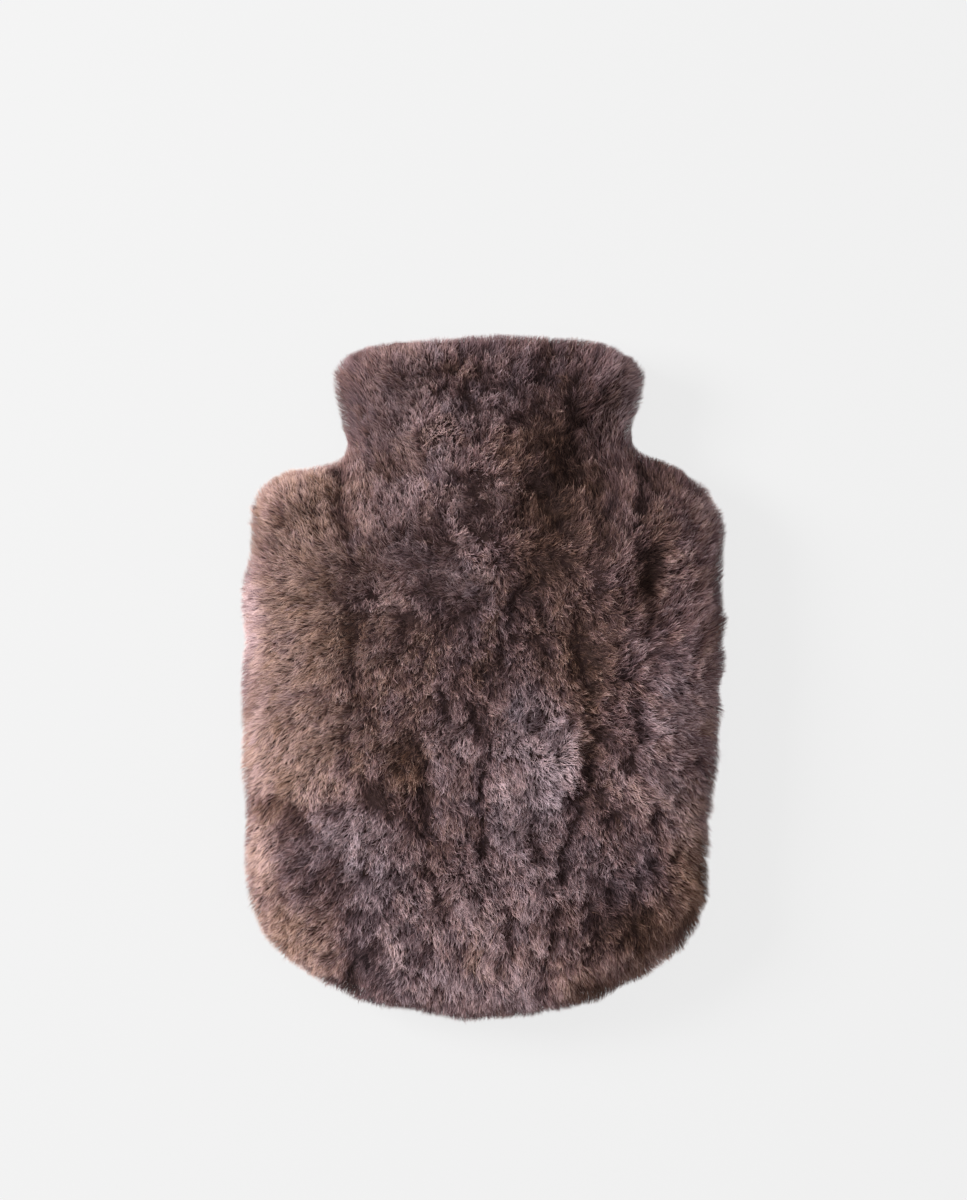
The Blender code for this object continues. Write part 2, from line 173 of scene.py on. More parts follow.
# Patches of the wool's own hue and tone that also paint light and shade: lighter on the left, towards
# the key lamp, and darker right of the middle
PATCHES = (
    Patch(across=-43, up=-137, wide=4, tall=10, hue=0.40, tone=0.60),
    Patch(across=44, up=-36, wide=6, tall=9, hue=0.60, tone=0.50),
    Patch(across=1, up=95, wide=11, tall=7, hue=0.50, tone=0.40),
    Patch(across=57, up=74, wide=7, tall=11, hue=0.20, tone=-0.30),
    Patch(across=-96, up=-23, wide=9, tall=7, hue=0.20, tone=-0.20),
    # Lighter down the left side and its rim: partly the wool's colour, partly painted light from the
    # key lamp's side
    Patch(across=-92, up=82, wide=30, tall=34, hue=0.14, tone=0.52),
    Patch(across=-94, up=14, wide=28, tall=44, hue=0.28, tone=0.60),
    Patch(across=-96, up=-40, wide=30, tall=20, hue=0.16, tone=0.54),
    Patch(across=-96, up=-122, wide=24, tall=22, hue=0.10, tone=0.42),
    Patch(across=-118, up=28, wide=7, tall=20, hue=0.70, tone=0.20),
    Patch(across=-114, up=-48, wide=7, tall=14, hue=0.30, tone=0.30),
    Patch(across=-113, up=-88, wide=8, tall=18, hue=0.26, tone=0.55),
    Patch(across=-101, up=3, wide=7, tall=9, hue=0.25, tone=0.22),
    Patch(across=-58, up=138, wide=20, tall=24, hue=0.62, tone=0.10),
    Patch(across=-30, up=122, wide=20, tall=26, hue=0.62, tone=0.46),
    Patch(across=-28, up=162, wide=22, tall=10, hue=0.46, tone=0.32),
    Patch(across=-14, up=150, wide=10, tall=8, hue=0.05, tone=-0.02),
    Patch(across=8, up=148, wide=32, tall=20, hue=0.80, tone=-0.10),
    Patch(across=54, up=156, wide=12, tall=12, hue=0.50, tone=-0.14),
    Patch(across=34, up=132, wide=14, tall=30, hue=0.22, tone=-0.28),
    Patch(across=30, up=117, wide=20, tall=10, hue=0.05, tone=-0.08),
    Patch(across=40, up=92, wide=18, tall=20, hue=0.00, tone=-0.30),
    Patch(across=62, up=120, wide=14, tall=16, hue=0.60, tone=0.14),
    Patch(across=66, up=142, wide=14, tall=24, hue=0.70, tone=0.30),
    Patch(across=76, up=148, wide=8, tall=18, hue=0.50, tone=0.25),
    Patch(across=-40, up=80, wide=22, tall=26, hue=0.60, tone=0.24),
    Patch(across=-6, up=48, wide=20, tall=18, hue=0.68, tone=0.44),
    Patch(across=-14, up=72, wide=10, tall=12, hue=0.60, tone=0.16),
    Patch(across=-52, up=46, wide=18, tall=13, hue=0.45, tone=0.28),
    Patch(across=-50, up=8, wide=9, tall=9, hue=0.50, tone=0.24),
    Patch(across=32, up=68, wide=12, tall=26, hue=0.05, tone=-0.26),
    Patch(across=38, up=54, wide=13, tall=9, hue=0.10, tone=-0.30),
    Patch(across=46, up=22, wide=13, tall=34, hue=0.15, tone=-0.12),
    Patch(across=60, up=12, wide=8, tall=14, hue=0.30, tone=-0.22),
    Patch(across=22, up=24, wide=14, tall=12, hue=0.40, tone=-0.14),
    Patch(across=80, up=70, wide=20, tall=40, hue=0.42, tone=-0.12),
    Patch(across=110, up=56, wide=12, tall=30, hue=0.50, tone=0.18),
    Patch(across=116, up=88, wide=8, tall=14, hue=0.50, tone=0.40),
    Patch(across=98, up=-14, wide=20, tall=26, hue=0.76, tone=0.22),
    Patch(across=116, up=-10, wide=7, tall=34, hue=0.50, tone=0.24),
    Patch(across=80, up=-56, wide=22, tall=24, hue=0.64, tone=0.16),
    Patch(across=98, up=-66, wide=13, tall=14, hue=0.50, tone=0.30),
    Patch(across=106, up=-96, wide=12, tall=26, hue=0.06, tone=0.14),
    Patch(across=112, up=-66, wide=9, tall=14, hue=0.50, tone=0.28),
    Patch(across=92, up=-144, wide=20, tall=9, hue=0.12, tone=0.42),
    Patch(across=25, up=-22, wide=11, tall=15, hue=0.90, tone=0.52),
    Patch(across=22, up=-56, wide=26, tall=28, hue=0.95, tone=0.58),
    # Painted highlight: the lit tuft beside the furrow, made lighter still
    Patch(across=41, up=-37, wide=10, tall=12, hue=0.70, tone=0.80),
    Patch(across=-2, up=-60, wide=7, tall=20, hue=0.60, tone=-0.20),
    Patch(across=4, up=-4, wide=6, tall=18, hue=0.40, tone=-0.22),
    Patch(across=50, up=4, wide=6, tall=20, hue=-0.10, tone=-0.02),
    Patch(across=54, up=-34, wide=7, tall=18, hue=0.00, tone=-0.08),
    Patch(across=70, up=-28, wide=8, tall=16, hue=0.40, tone=-0.26),
    Patch(across=-16, up=-28, wide=15, tall=10, hue=0.60, tone=0.28),
    Patch(across=-38, up=-42, wide=7, tall=14, hue=-0.20, tone=-0.06),
    Patch(across=-16, up=-86, wide=8, tall=14, hue=0.50, tone=-0.20),
    Patch(across=-74, up=-6, wide=18, tall=7, hue=0.15, tone=-0.20, turn=8),
    Patch(across=-80, up=18, wide=14, tall=16, hue=-0.10, tone=0.00),
    Patch(across=-87, up=24, wide=6, tall=12, hue=0.20, tone=-0.12),
    Patch(across=-90, up=-54, wide=14, tall=10, hue=0.24, tone=0.48),
    Patch(across=-66, up=-80, wide=17, tall=13, hue=0.95, tone=0.62, turn=-10),
    Patch(across=-52, up=-100, wide=10, tall=15, hue=0.90, tone=0.36, turn=25),
    Patch(across=-50, up=-60, wide=12, tall=9, hue=0.38, tone=-0.26),
    Patch(across=-88, up=-102, wide=17, tall=14, hue=0.90, tone=-0.20),
    Patch(across=-60, up=-140, wide=13, tall=16, hue=0.75, tone=-0.26),
    Patch(across=-84, up=-141, wide=13, tall=10, hue=0.28, tone=0.44, turn=-30),
    Patch(across=-50, up=-124, wide=20, tall=14, hue=0.90, tone=-0.04),
    Patch(across=0, up=-118, wide=40, tall=22, hue=0.60, tone=0.24),
    Patch(across=2, up=-138, wide=12, tall=16, hue=0.50, tone=0.20),
    Patch(across=10, up=-158, wide=44, tall=14, hue=0.76, tone=0.32),
    Patch(across=60, up=-68, wide=13, tall=10, hue=0.50, tone=-0.26),
    Patch(across=66, up=-116, wide=15, tall=14, hue=0.60, tone=-0.26),
    Patch(across=78, up=-128, wide=16, tall=11, hue=-0.10, tone=-0.20),
    Patch(across=72, up=-98, wide=14, tall=12, hue=0.90, tone=0.00),
    Patch(across=50, up=-156, wide=18, tall=9, hue=-0.10, tone=-0.02),
    Patch(across=108, up=-118, wide=9, tall=18, hue=-0.10, tone=0.10),
    Patch(across=80, up=48, wide=8, tall=9, hue=-0.10, tone=-0.05),
    Patch(across=52, up=58, wide=8, tall=12, hue=0.70, tone=0.06),
    Patch(across=-36, up=6, wide=14, tall=22, hue=0.34, tone=0.04),
    Patch(across=-46, up=-148, wide=14, tall=10, hue=0.95, tone=0.00),
)
BRUSHED = (
    Spot(across=-96, up=0, wide=28, tall=90, strength=0.5),
    Spot(across=98, up=10, wide=26, tall=90, strength=0.45),
    Spot(across=-64, up=78, wide=26, tall=26, strength=0.4),
    Spot(across=-60, up=136, wide=16, tall=30, strength=0.9),
    Spot(across=64, up=138, wide=16, tall=32, strength=0.9),
    Spot(across=0, up=170, wide=80, tall=7, strength=0.7),
    Spot(across=112, up=30, wide=14, tall=70, strength=0.7),
    Spot(across=100, up=-110, wide=14, tall=26, strength=0.6),
    Spot(across=-118, up=-10, wide=10, tall=90, strength=0.8),
    Spot(across=-96, up=84, wide=20, tall=26, strength=0.5),
    Spot(across=70, up=92, wide=24, tall=16, strength=0.5),
    Spot(across=60, up=-152, wide=34, tall=10, strength=0.7),
)
CURLS = (
    Spot(across=-8, up=128, wide=28, tall=34, strength=1.0),
    Spot(across=-4, up=86, wide=26, tall=20, strength=0.9),
    Spot(across=-40, up=40, wide=14, tall=14, strength=0.5),
    Spot(across=24, up=-50, wide=26, tall=26, strength=0.4),
)
# Partings: the hairs sink and lean apart there, and painted shade darkens them
PARTINGS = (
    Line(from_across=30, from_up=98, to_across=36, to_up=88, width=8, strength=1.1),
    Line(from_across=14, from_up=118, to_across=26, to_up=114, width=4, strength=0.6),
    Line(from_across=26, from_up=114, to_across=40, to_up=113, width=5, strength=0.6),
    Line(from_across=47, from_up=150, to_across=46, to_up=130, width=6, strength=0.7),
    Line(from_across=43, from_up=122, to_across=41, to_up=110, width=5, strength=0.6),
    Line(from_across=28, from_up=57, to_across=20, to_up=38, width=9, strength=1.2),
    Line(from_across=13, from_up=59, to_across=20, to_up=50, width=4, strength=0.8),
    Line(from_across=36, from_up=60, to_across=44, to_up=50, width=4, strength=0.7),
    Line(from_across=14, from_up=28, to_across=14, to_up=18, width=4, strength=0.7),
    Line(from_across=10, from_up=10, to_across=0, to_up=0, width=4, strength=0.8),
    Line(from_across=48, from_up=32, to_across=48, to_up=18, width=4, strength=0.8),
    Line(from_across=48, from_up=18, to_across=54, to_up=-5, width=5, strength=1.2),
    Line(from_across=50, from_up=-8, to_across=53, to_up=-22, width=4, strength=0.9),
    Line(from_across=53, from_up=-22, to_across=58, to_up=-29, width=4, strength=1.1),
    Line(from_across=58, from_up=-29, to_across=52, to_up=-46, width=5, strength=1.2),
    Line(from_across=52, from_up=-46, to_across=49, to_up=-66, width=4, strength=1.1),
    Line(from_across=49, from_up=-66, to_across=41, to_up=-84, width=4, strength=1.0),
    Line(from_across=41, from_up=-84, to_across=38, to_up=-102, width=4, strength=0.9),
    Line(from_across=37, from_up=-116, to_across=33, to_up=-136, width=4, strength=1.0),
    Line(from_across=33, from_up=-136, to_across=30, to_up=-160, width=4, strength=0.8),
    Line(from_across=36, from_up=80, to_across=43, to_up=70, width=4, strength=0.9),
    Line(from_across=52, from_up=89, to_across=61, to_up=66, width=3.5, strength=0.9),
    Line(from_across=81, from_up=104, to_across=80, to_up=84, width=4, strength=0.7),
    Line(from_across=70, from_up=106, to_across=55, to_up=98, width=6, strength=0.4),
    Line(from_across=85, from_up=60, to_across=84, to_up=44, width=5, strength=1.1),
    Line(from_across=70, from_up=45, to_across=62, to_up=30, width=3, strength=0.5),
    Line(from_across=84, from_up=34, to_across=82, to_up=20, width=5, strength=0.5),
    Line(from_across=107, from_up=58, to_across=103, to_up=50, width=2.5, strength=0.6),
    Line(from_across=26, from_up=20, to_across=33, to_up=6, width=4, strength=0.6),
    Line(from_across=66, from_up=-8, to_across=66, to_up=-16, width=3, strength=0.5),
    Line(from_across=78, from_up=-16, to_across=79, to_up=-30, width=5, strength=1.0),
    Line(from_across=76, from_up=-36, to_across=74, to_up=-46, width=4, strength=1.0),
    Line(from_across=58, from_up=-60, to_across=70, to_up=-74, width=5, strength=0.9),
    Line(from_across=86, from_up=-70, to_across=88, to_up=-79, width=3, strength=0.7),
    Line(from_across=98, from_up=-86, to_across=97, to_up=-91, width=3, strength=0.8),
    Line(from_across=54, from_up=-104, to_across=56, to_up=-120, width=5, strength=0.6),
    Line(from_across=64, from_up=-108, to_across=60, to_up=-128, width=6, strength=0.8),
    Line(from_across=75, from_up=-120, to_across=76, to_up=-136, width=8, strength=0.7),
    Line(from_across=58, from_up=-128, to_across=55, to_up=-142, width=5, strength=0.5),
    Line(from_across=50, from_up=-157, to_across=57, to_up=-156, width=4, strength=0.7),
    Line(from_across=84, from_up=-94, to_across=86, to_up=-102, width=4, strength=0.6),
    Line(from_across=25, from_up=-84, to_across=33, to_up=-93, width=3, strength=0.6),
    Line(from_across=13, from_up=-125, to_across=14, to_up=-137, width=3, strength=0.6),
    Line(from_across=-9, from_up=-124, to_across=-7, to_up=-132, width=4, strength=0.5),
    Line(from_across=-12, from_up=99, to_across=-2, to_up=97, width=4, strength=1.0),
    Line(from_across=-10, from_up=119, to_across=-3, to_up=117, width=3, strength=0.7),
    Line(from_across=-19, from_up=148, to_across=-28, to_up=131, width=3.5, strength=0.9),
    Line(from_across=-18, from_up=158, to_across=-14, to_up=152, width=3.5, strength=0.7),
    Line(from_across=-10, from_up=143, to_across=-4, to_up=134, width=4, strength=0.9),
    Line(from_across=-2, from_up=158, to_across=0, to_up=145, width=3.5, strength=0.8),
    Line(from_across=-11, from_up=165, to_across=-10, to_up=160, width=3, strength=0.6),
    Line(from_across=-18, from_up=77, to_across=-17, to_up=72, width=3.5, strength=0.5),
    Line(from_across=-28, from_up=68, to_across=-27, to_up=61, width=3.5, strength=0.7),
    Line(from_across=-32, from_up=51, to_across=-25, to_up=36, width=5, strength=1.0),
    Line(from_across=-40, from_up=29, to_across=-38, to_up=12, width=5, strength=1.0),
    Line(from_across=-20, from_up=20, to_across=-11, to_up=30, width=5, strength=1.0),
    Line(from_across=-20, from_up=-10, to_across=-19, to_up=-21, width=5, strength=1.1),
    Line(from_across=-4, from_up=-16, to_across=-1, to_up=-29, width=5, strength=1.0),
    Line(from_across=6, from_up=-32, to_across=0, to_up=-42, width=4, strength=0.9),
    Line(from_across=0, from_up=-42, to_across=-1, to_up=-64, width=3.5, strength=1.2),
    Line(from_across=-1, from_up=-64, to_across=0, to_up=-86, width=4, strength=1.2),
    Line(from_across=-37, from_up=-30, to_across=-30, to_up=-44, width=5, strength=1.0),
    Line(from_across=-30, from_up=-44, to_across=-29, to_up=-60, width=5, strength=1.2),
    Line(from_across=-29, from_up=-60, to_across=-27, to_up=-76, width=4, strength=1.1),
    Line(from_across=-26, from_up=-98, to_across=-20, to_up=-112, width=4, strength=1.0),
    Line(from_across=-20, from_up=-112, to_across=-20, to_up=-122, width=3, strength=0.7),
    Line(from_across=-73, from_up=106, to_across=-71, to_up=87, width=5, strength=0.8),
    Line(from_across=-71, from_up=87, to_across=-68, to_up=72, width=6, strength=0.9),
    Line(from_across=-104, from_up=84, to_across=-99, to_up=73, width=5, strength=0.6),
    Line(from_across=-79, from_up=48, to_across=-69, to_up=35, width=4, strength=0.8),
    Line(from_across=-65, from_up=34, to_across=-64, to_up=6, width=5, strength=0.6),
    Line(from_across=-87, from_up=16, to_across=-85, to_up=12, width=3, strength=0.5),
    Line(from_across=-66, from_up=2, to_across=-62, to_up=-12, width=6, strength=0.6),
    Line(from_across=-83, from_up=-9, to_across=-81, to_up=-17, width=4, strength=0.6),
    Line(from_across=-70, from_up=-32, to_across=-68, to_up=-44, width=4, strength=0.8),
    Line(from_across=-54, from_up=-56, to_across=-47, to_up=-68, width=7, strength=0.8),
    Line(from_across=-76, from_up=-64, to_across=-72, to_up=-66, width=4, strength=0.7),
    Line(from_across=-61, from_up=-46, to_across=-60, to_up=-52, width=3, strength=0.7),
    Line(from_across=-112, from_up=-61, to_across=-100, to_up=-66, width=5, strength=0.7),
    Line(from_across=-100, from_up=-66, to_across=-88, to_up=-75, width=5, strength=0.7),
    Line(from_across=-76, from_up=-84, to_across=-72, to_up=-92, width=4, strength=0.6),
    Line(from_across=-87, from_up=-108, to_across=-80, to_up=-100, width=5, strength=0.9),
    Line(from_across=-79, from_up=-106, to_across=-77, to_up=-113, width=4, strength=0.6),
    Line(from_across=-85, from_up=-128, to_across=-78, to_up=-122, width=3.5, strength=0.8),
    Line(from_across=-68, from_up=-152, to_across=-66, to_up=-142, width=5, strength=1.0),
    Line(from_across=-58, from_up=-136, to_across=-55, to_up=-141, width=3, strength=0.8),
    Line(from_across=-61, from_up=-118, to_across=-50, to_up=-128, width=4, strength=0.6),
    Line(from_across=-57, from_up=-98, to_across=-43, to_up=-116, width=4, strength=0.6),
    Line(from_across=-40, from_up=-128, to_across=-37, to_up=-148, width=3, strength=0.8),
)
# Light locks: partly the wool's own lighter colour, partly painted highlight where a lock catches the
# key lamp
STREAKS = (
    # Painted highlight: the lit tuft beside the furrow
    Line(from_across=41, from_up=-46, to_across=45, to_up=-31, width=5, strength=1.6),
    Line(from_across=47, from_up=-32, to_across=51, to_up=-29, width=3.5, strength=1.0),
    Line(from_across=28, from_up=-48, to_across=40, to_up=-50, width=3.5, strength=0.9),
    Line(from_across=28, from_up=-30, to_across=38, to_up=-38, width=2.5, strength=0.8),
    Line(from_across=12, from_up=-52, to_across=11, to_up=-60, width=3, strength=0.7),
    Line(from_across=84, from_up=-12, to_across=87, to_up=-22, width=3, strength=0.6),
    Line(from_across=75, from_up=-54, to_across=81, to_up=-67, width=2.2, strength=1.1),
    Line(from_across=70, from_up=-47, to_across=70, to_up=-53, width=2.5, strength=0.9),
    Line(from_across=36, from_up=-108, to_across=39, to_up=-114, width=3, strength=0.6),
    Line(from_across=25, from_up=-133, to_across=27, to_up=-140, width=3, strength=0.7),
    Line(from_across=18, from_up=-148, to_across=22, to_up=-164, width=3.5, strength=0.6),
    Line(from_across=12, from_up=-88, to_across=30, to_up=-98, width=2.5, strength=0.6),
    Line(from_across=0, from_up=-118, to_across=-1, to_up=-146, width=5, strength=0.6),
    Line(from_across=-48, from_up=-127, to_across=-43, to_up=-136, width=3.5, strength=2.2),
    Line(from_across=-43, from_up=-136, to_across=-43, to_up=-146, width=3.5, strength=2.2),
    Line(from_across=-41, from_up=-109, to_across=-36, to_up=-120, width=2.4, strength=1.3),
    Line(from_across=-28, from_up=-31, to_across=-23, to_up=-46, width=3, strength=1.0),
    Line(from_across=-9, from_up=-34, to_across=-10, to_up=-43, width=5, strength=0.5),
    Line(from_across=-20, from_up=-64, to_across=-18, to_up=-80, width=4, strength=0.5),
    Line(from_across=-15, from_up=-103, to_across=-12, to_up=-116, width=4, strength=0.5),
    Line(from_across=-22, from_up=-132, to_across=-23, to_up=-150, width=4, strength=0.5),
    Line(from_across=-36, from_up=-150, to_across=-30, to_up=-160, width=2.5, strength=0.6),
    # Pale bands on the left rim, towards the key lamp: partly cream wool, partly painted highlight
    Line(from_across=-115, from_up=44, to_across=-112, to_up=8, width=4, strength=0.6),
    Line(from_across=-114, from_up=-20, to_across=-113, to_up=-36, width=5, strength=0.8),
    Line(from_across=-114, from_up=-42, to_across=-109, to_up=-56, width=4, strength=0.9),
    Line(from_across=-111, from_up=-78, to_across=-111, to_up=-98, width=5, strength=1.1),
    Line(from_across=-88, from_up=-54, to_across=-87, to_up=-63, width=3, strength=0.8),
    Line(from_across=-84, from_up=-71, to_across=-78, to_up=-77, width=3, strength=1.1),
    Line(from_across=-66, from_up=-56, to_across=-63, to_up=-66, width=4, strength=0.8),
    Line(from_across=-60, from_up=-70, to_across=-53, to_up=-77, width=4, strength=0.8),
    Line(from_across=-66, from_up=-82, to_across=-66, to_up=-98, width=4, strength=0.7),
    Line(from_across=-98, from_up=53, to_across=-93, to_up=46, width=2.5, strength=1.1),
    Line(from_across=-14, from_up=138, to_across=-23, to_up=130, width=3, strength=0.6),
    Line(from_across=-23, from_up=130, to_across=-20, to_up=106, width=4, strength=0.4),
    Line(from_across=-38, from_up=140, to_across=-33, to_up=124, width=4, strength=0.5),
    Line(from_across=2, from_up=97, to_across=14, to_up=91, width=2.5, strength=1.2),
    Line(from_across=-59, from_up=79, to_across=-56, to_up=73, width=2.5, strength=0.6),
    Line(from_across=-3, from_up=54, to_across=1, to_up=48, width=3, strength=0.7),
    Line(from_across=74, from_up=98, to_across=73, to_up=74, width=4, strength=0.4),
    Line(from_across=73, from_up=74, to_across=66, to_up=48, width=4, strength=0.4),
    Line(from_across=95, from_up=58, to_across=89, to_up=42, width=3, strength=0.7),
    Line(from_across=34, from_up=42, to_across=40, to_up=33, width=3, strength=0.4),
    Line(from_across=78, from_up=12, to_across=80, to_up=2, width=3.5, strength=0.5),
    Line(from_across=86, from_up=-36, to_across=95, to_up=-46, width=4, strength=0.5),
    Line(from_across=51, from_up=76, to_across=52, to_up=71, width=2, strength=0.6),
    Line(from_across=-80, from_up=36, to_across=-75, to_up=31, width=3, strength=0.6),
    Line(from_across=-50, from_up=35, to_across=-40, to_up=37, width=4, strength=0.9),
    Line(from_across=104, from_up=-75, to_across=105, to_up=-82, width=4, strength=0.5),
)
TRIMS = (
    Spot(across=78, up=113, wide=7, tall=6, strength=-1.2),
    Spot(across=-108, up=91, wide=8, tall=8, strength=1.5),
    Spot(across=-73, up=-157, wide=9, tall=6, strength=1.0),
    Spot(across=56, up=-160, wide=14, tall=6, strength=1.6),
    Spot(across=-120, up=8, wide=5, tall=12, strength=1.2),
    Spot(across=0, up=172, wide=20, tall=6, strength=-1.0),
    Spot(across=32, up=172, wide=12, tall=6, strength=-0.8),
    Spot(across=-34, up=170, wide=22, tall=8, strength=-2.6),
    Spot(across=-75, up=150, wide=8, tall=10, strength=-1.0),
    Spot(across=-74, up=111, wide=8, tall=8, strength=-3.0),
    Spot(across=77, up=158, wide=8, tall=8, strength=-1.2),
    Spot(across=56, up=168, wide=12, tall=6, strength=1.3),
    Spot(across=112, up=95, wide=10, tall=10, strength=-1.8),
    Spot(across=-101, up=99, wide=12, tall=8, strength=3.0),
    Spot(across=-116, up=80, wide=6, tall=12, strength=0.8),
    Spot(across=-119, up=-57, wide=6, tall=14, strength=-2.0),
    Spot(across=-118, up=-92, wide=6, tall=8, strength=1.0),
    Spot(across=115, up=-46, wide=6, tall=8, strength=1.0),
    Spot(across=115, up=-66, wide=6, tall=7, strength=-1.2),
    Spot(across=-82, up=-150, wide=12, tall=8, strength=-1.0),
    Spot(across=-63, up=-160, wide=12, tall=6, strength=2.4),
    Spot(across=93, up=-143, wide=14, tall=10, strength=-0.8),
)
PLAIN_HUE = 0.52
PLAIN_TONE = 0.54


# ---------------------------------------------------------------- shader node groups


def new_group(name: str, inputs: dict[str, object], outputs: dict[str, str]) -> bpy.types.NodeTree:
    """Start a shader node group.

    Args:
        name: The group's name.
        inputs: Each input's name with its default, a number or a colour.
        outputs: Each output's name with its socket type.

    Returns:
        The group, with its input and output nodes in place.
    """
    group = bpy.data.node_groups.new(name, "ShaderNodeTree")
    for label, value in inputs.items():
        kind = "NodeSocketColor" if isinstance(value, tuple) else "NodeSocketFloat"
        socket = group.interface.new_socket(label, in_out="INPUT", socket_type=kind)
        socket.default_value = (*value, 1.0) if isinstance(value, tuple) else value
    for label, kind in outputs.items():
        group.interface.new_socket(label, in_out="OUTPUT", socket_type=kind)
    group.nodes.new("NodeGroupInput").name = "in"
    group.nodes.new("NodeGroupOutput").name = "out"
    return group


def ramp(tree: bpy.types.NodeTree, stops: Stops) -> bpy.types.Node:
    """Add a colour ramp to a node tree.

    Args:
        tree: The node tree.
        stops: The place and the colour of each stop.

    Returns:
        The ramp's node.
    """
    node = tree.nodes.new("ShaderNodeValToRGB")
    elements = node.color_ramp.elements
    while len(elements) > 1:
        elements.remove(elements[-1])
    for index, (place, colour) in enumerate(stops):
        element = elements[0] if index == 0 else elements.new(place)
        element.position = place
        element.color = (*colour, 1.0)
    return node


def mixed(tree: bpy.types.NodeTree, share: object, low: object, high: object) -> bpy.types.NodeSocket:
    """Add a mix of two colours to a node tree.

    Args:
        tree: The node tree.
        share: How much of the second colour there is, a number or a socket.
        low: The first colour, a socket.
        high: The second colour, a socket.

    Returns:
        The mixed colour's socket.
    """
    node = tree.nodes.new("ShaderNodeMix")
    node.data_type = "RGBA"
    for socket, value in ((node.inputs[0], share), (node.inputs[6], low), (node.inputs[7], high)):
        if isinstance(value, bpy.types.NodeSocket):
            tree.links.new(value, socket)
        else:
            socket.default_value = value
    return node.outputs[2]


@dataclass(frozen=True)
class Wool:
    """The colours that the wool takes, by hue from olive brown to lilac grey. The near-black deep
    stops are painted shade, for the roots and the undercoat deep in the pile.
    """

    # Near black: painted shade where the pile is deepest, not a colour of the wool
    deep: Stops = (
        (0.0, (0.012, 0.0055, 0.0035)),
        (0.5, (0.013, 0.0065, 0.0065)),
        (1.0, (0.013, 0.0090, 0.0115)),
    )
    middle: Stops = (
        (0.0, (0.180, 0.088, 0.058)),
        (0.25, (0.240, 0.130, 0.104)),
        (0.5, (0.210, 0.114, 0.114)),
        (0.75, (0.212, 0.132, 0.146)),
        (1.0, (0.205, 0.138, 0.160)),
    )
    light: Stops = (
        (0.0, (0.760, 0.480, 0.350)),
        (0.25, (0.900, 0.630, 0.530)),
        (0.5, (0.860, 0.600, 0.580)),
        (0.75, (0.850, 0.640, 0.660)),
        (1.0, (0.790, 0.640, 0.700)),
    )
    middle_tone: float = 0.40

    def group(self) -> bpy.types.NodeTree:
        """Build the node group that turns a hue and a tone into the wool's colour, once.

        Returns:
            The group.
        """
        name = "wool colour"
        if name in bpy.data.node_groups:
            return bpy.data.node_groups[name]
        tree = new_group(name, {"Hue": 0.5, "Tone": 0.5}, {"Color": "NodeSocketColor"})
        colours = []
        for stops in (self.deep, self.middle, self.light):
            node = ramp(tree, stops)
            tree.links.new(tree.nodes["in"].outputs["Hue"], node.inputs["Fac"])
            colours.append(node.outputs["Color"])
        shares = []
        for low, high in ((0.0, self.middle_tone), (self.middle_tone, 1.0)):
            node = tree.nodes.new("ShaderNodeMapRange")
            node.inputs["From Min"].default_value = low
            node.inputs["From Max"].default_value = high
            tree.links.new(tree.nodes["in"].outputs["Tone"], node.inputs["Value"])
            shares.append(node.outputs["Result"])
        lower = mixed(tree, shares[0], colours[0], colours[1])
        tree.links.new(mixed(tree, shares[1], lower, colours[2]), tree.nodes["out"].inputs["Color"])
        return tree


# ---------------------------------------------------------------- finishes


MATT_GLOSS = 0.15  # wool, suede and the floor reflect little


def plain_material(name: str, roughness: float) -> bpy.types.Material:
    """Start a matt material.

    Args:
        name: The material's name.
        roughness: How rough its surface is, from 0 to 1.

    Returns:
        The material, whose Principled shader is named shader.
    """
    material = bpy.data.materials.new(name)
    material.use_nodes = True
    shader = material.node_tree.nodes["Principled BSDF"]
    shader.name = "shader"
    shader.inputs["Roughness"].default_value = roughness
    shader.inputs["Specular IOR Level"].default_value = MATT_GLOSS
    return material


@dataclass(frozen=True)
class FleeceFinish:
    """Combed wool, light at the tip and darkened towards the root with painted shade, with a soft
    sheen.
    """

    wool: Wool
    roughness: float = 0.72
    sheen: float = 0.05
    sheen_roughness: float = 0.5
    sheen_tint: Colour = (0.80, 0.66, 0.64)

    def material(self) -> bpy.types.Material:
        """Build the fleece's material, which reads each hair's hue and tone from its map.

        Returns:
            The material.
        """
        material = plain_material("fleece", self.roughness)
        tree = material.node_tree
        shader = tree.nodes["shader"]
        shader.inputs["Sheen Weight"].default_value = self.sheen
        shader.inputs["Sheen Roughness"].default_value = self.sheen_roughness
        shader.inputs["Sheen Tint"].default_value = (*self.sheen_tint, 1.0)
        place = tree.nodes.new("ShaderNodeUVMap")
        place.uv_map = HAIR_MAP
        parts = tree.nodes.new("ShaderNodeSeparateXYZ")
        colour = tree.nodes.new("ShaderNodeGroup")
        colour.node_tree = self.wool.group()
        tree.links.new(place.outputs["UV"], parts.inputs["Vector"])
        tree.links.new(parts.outputs["X"], colour.inputs["Hue"])
        tree.links.new(parts.outputs["Y"], colour.inputs["Tone"])
        tree.links.new(colour.outputs["Color"], shader.inputs["Base Color"])
        return material


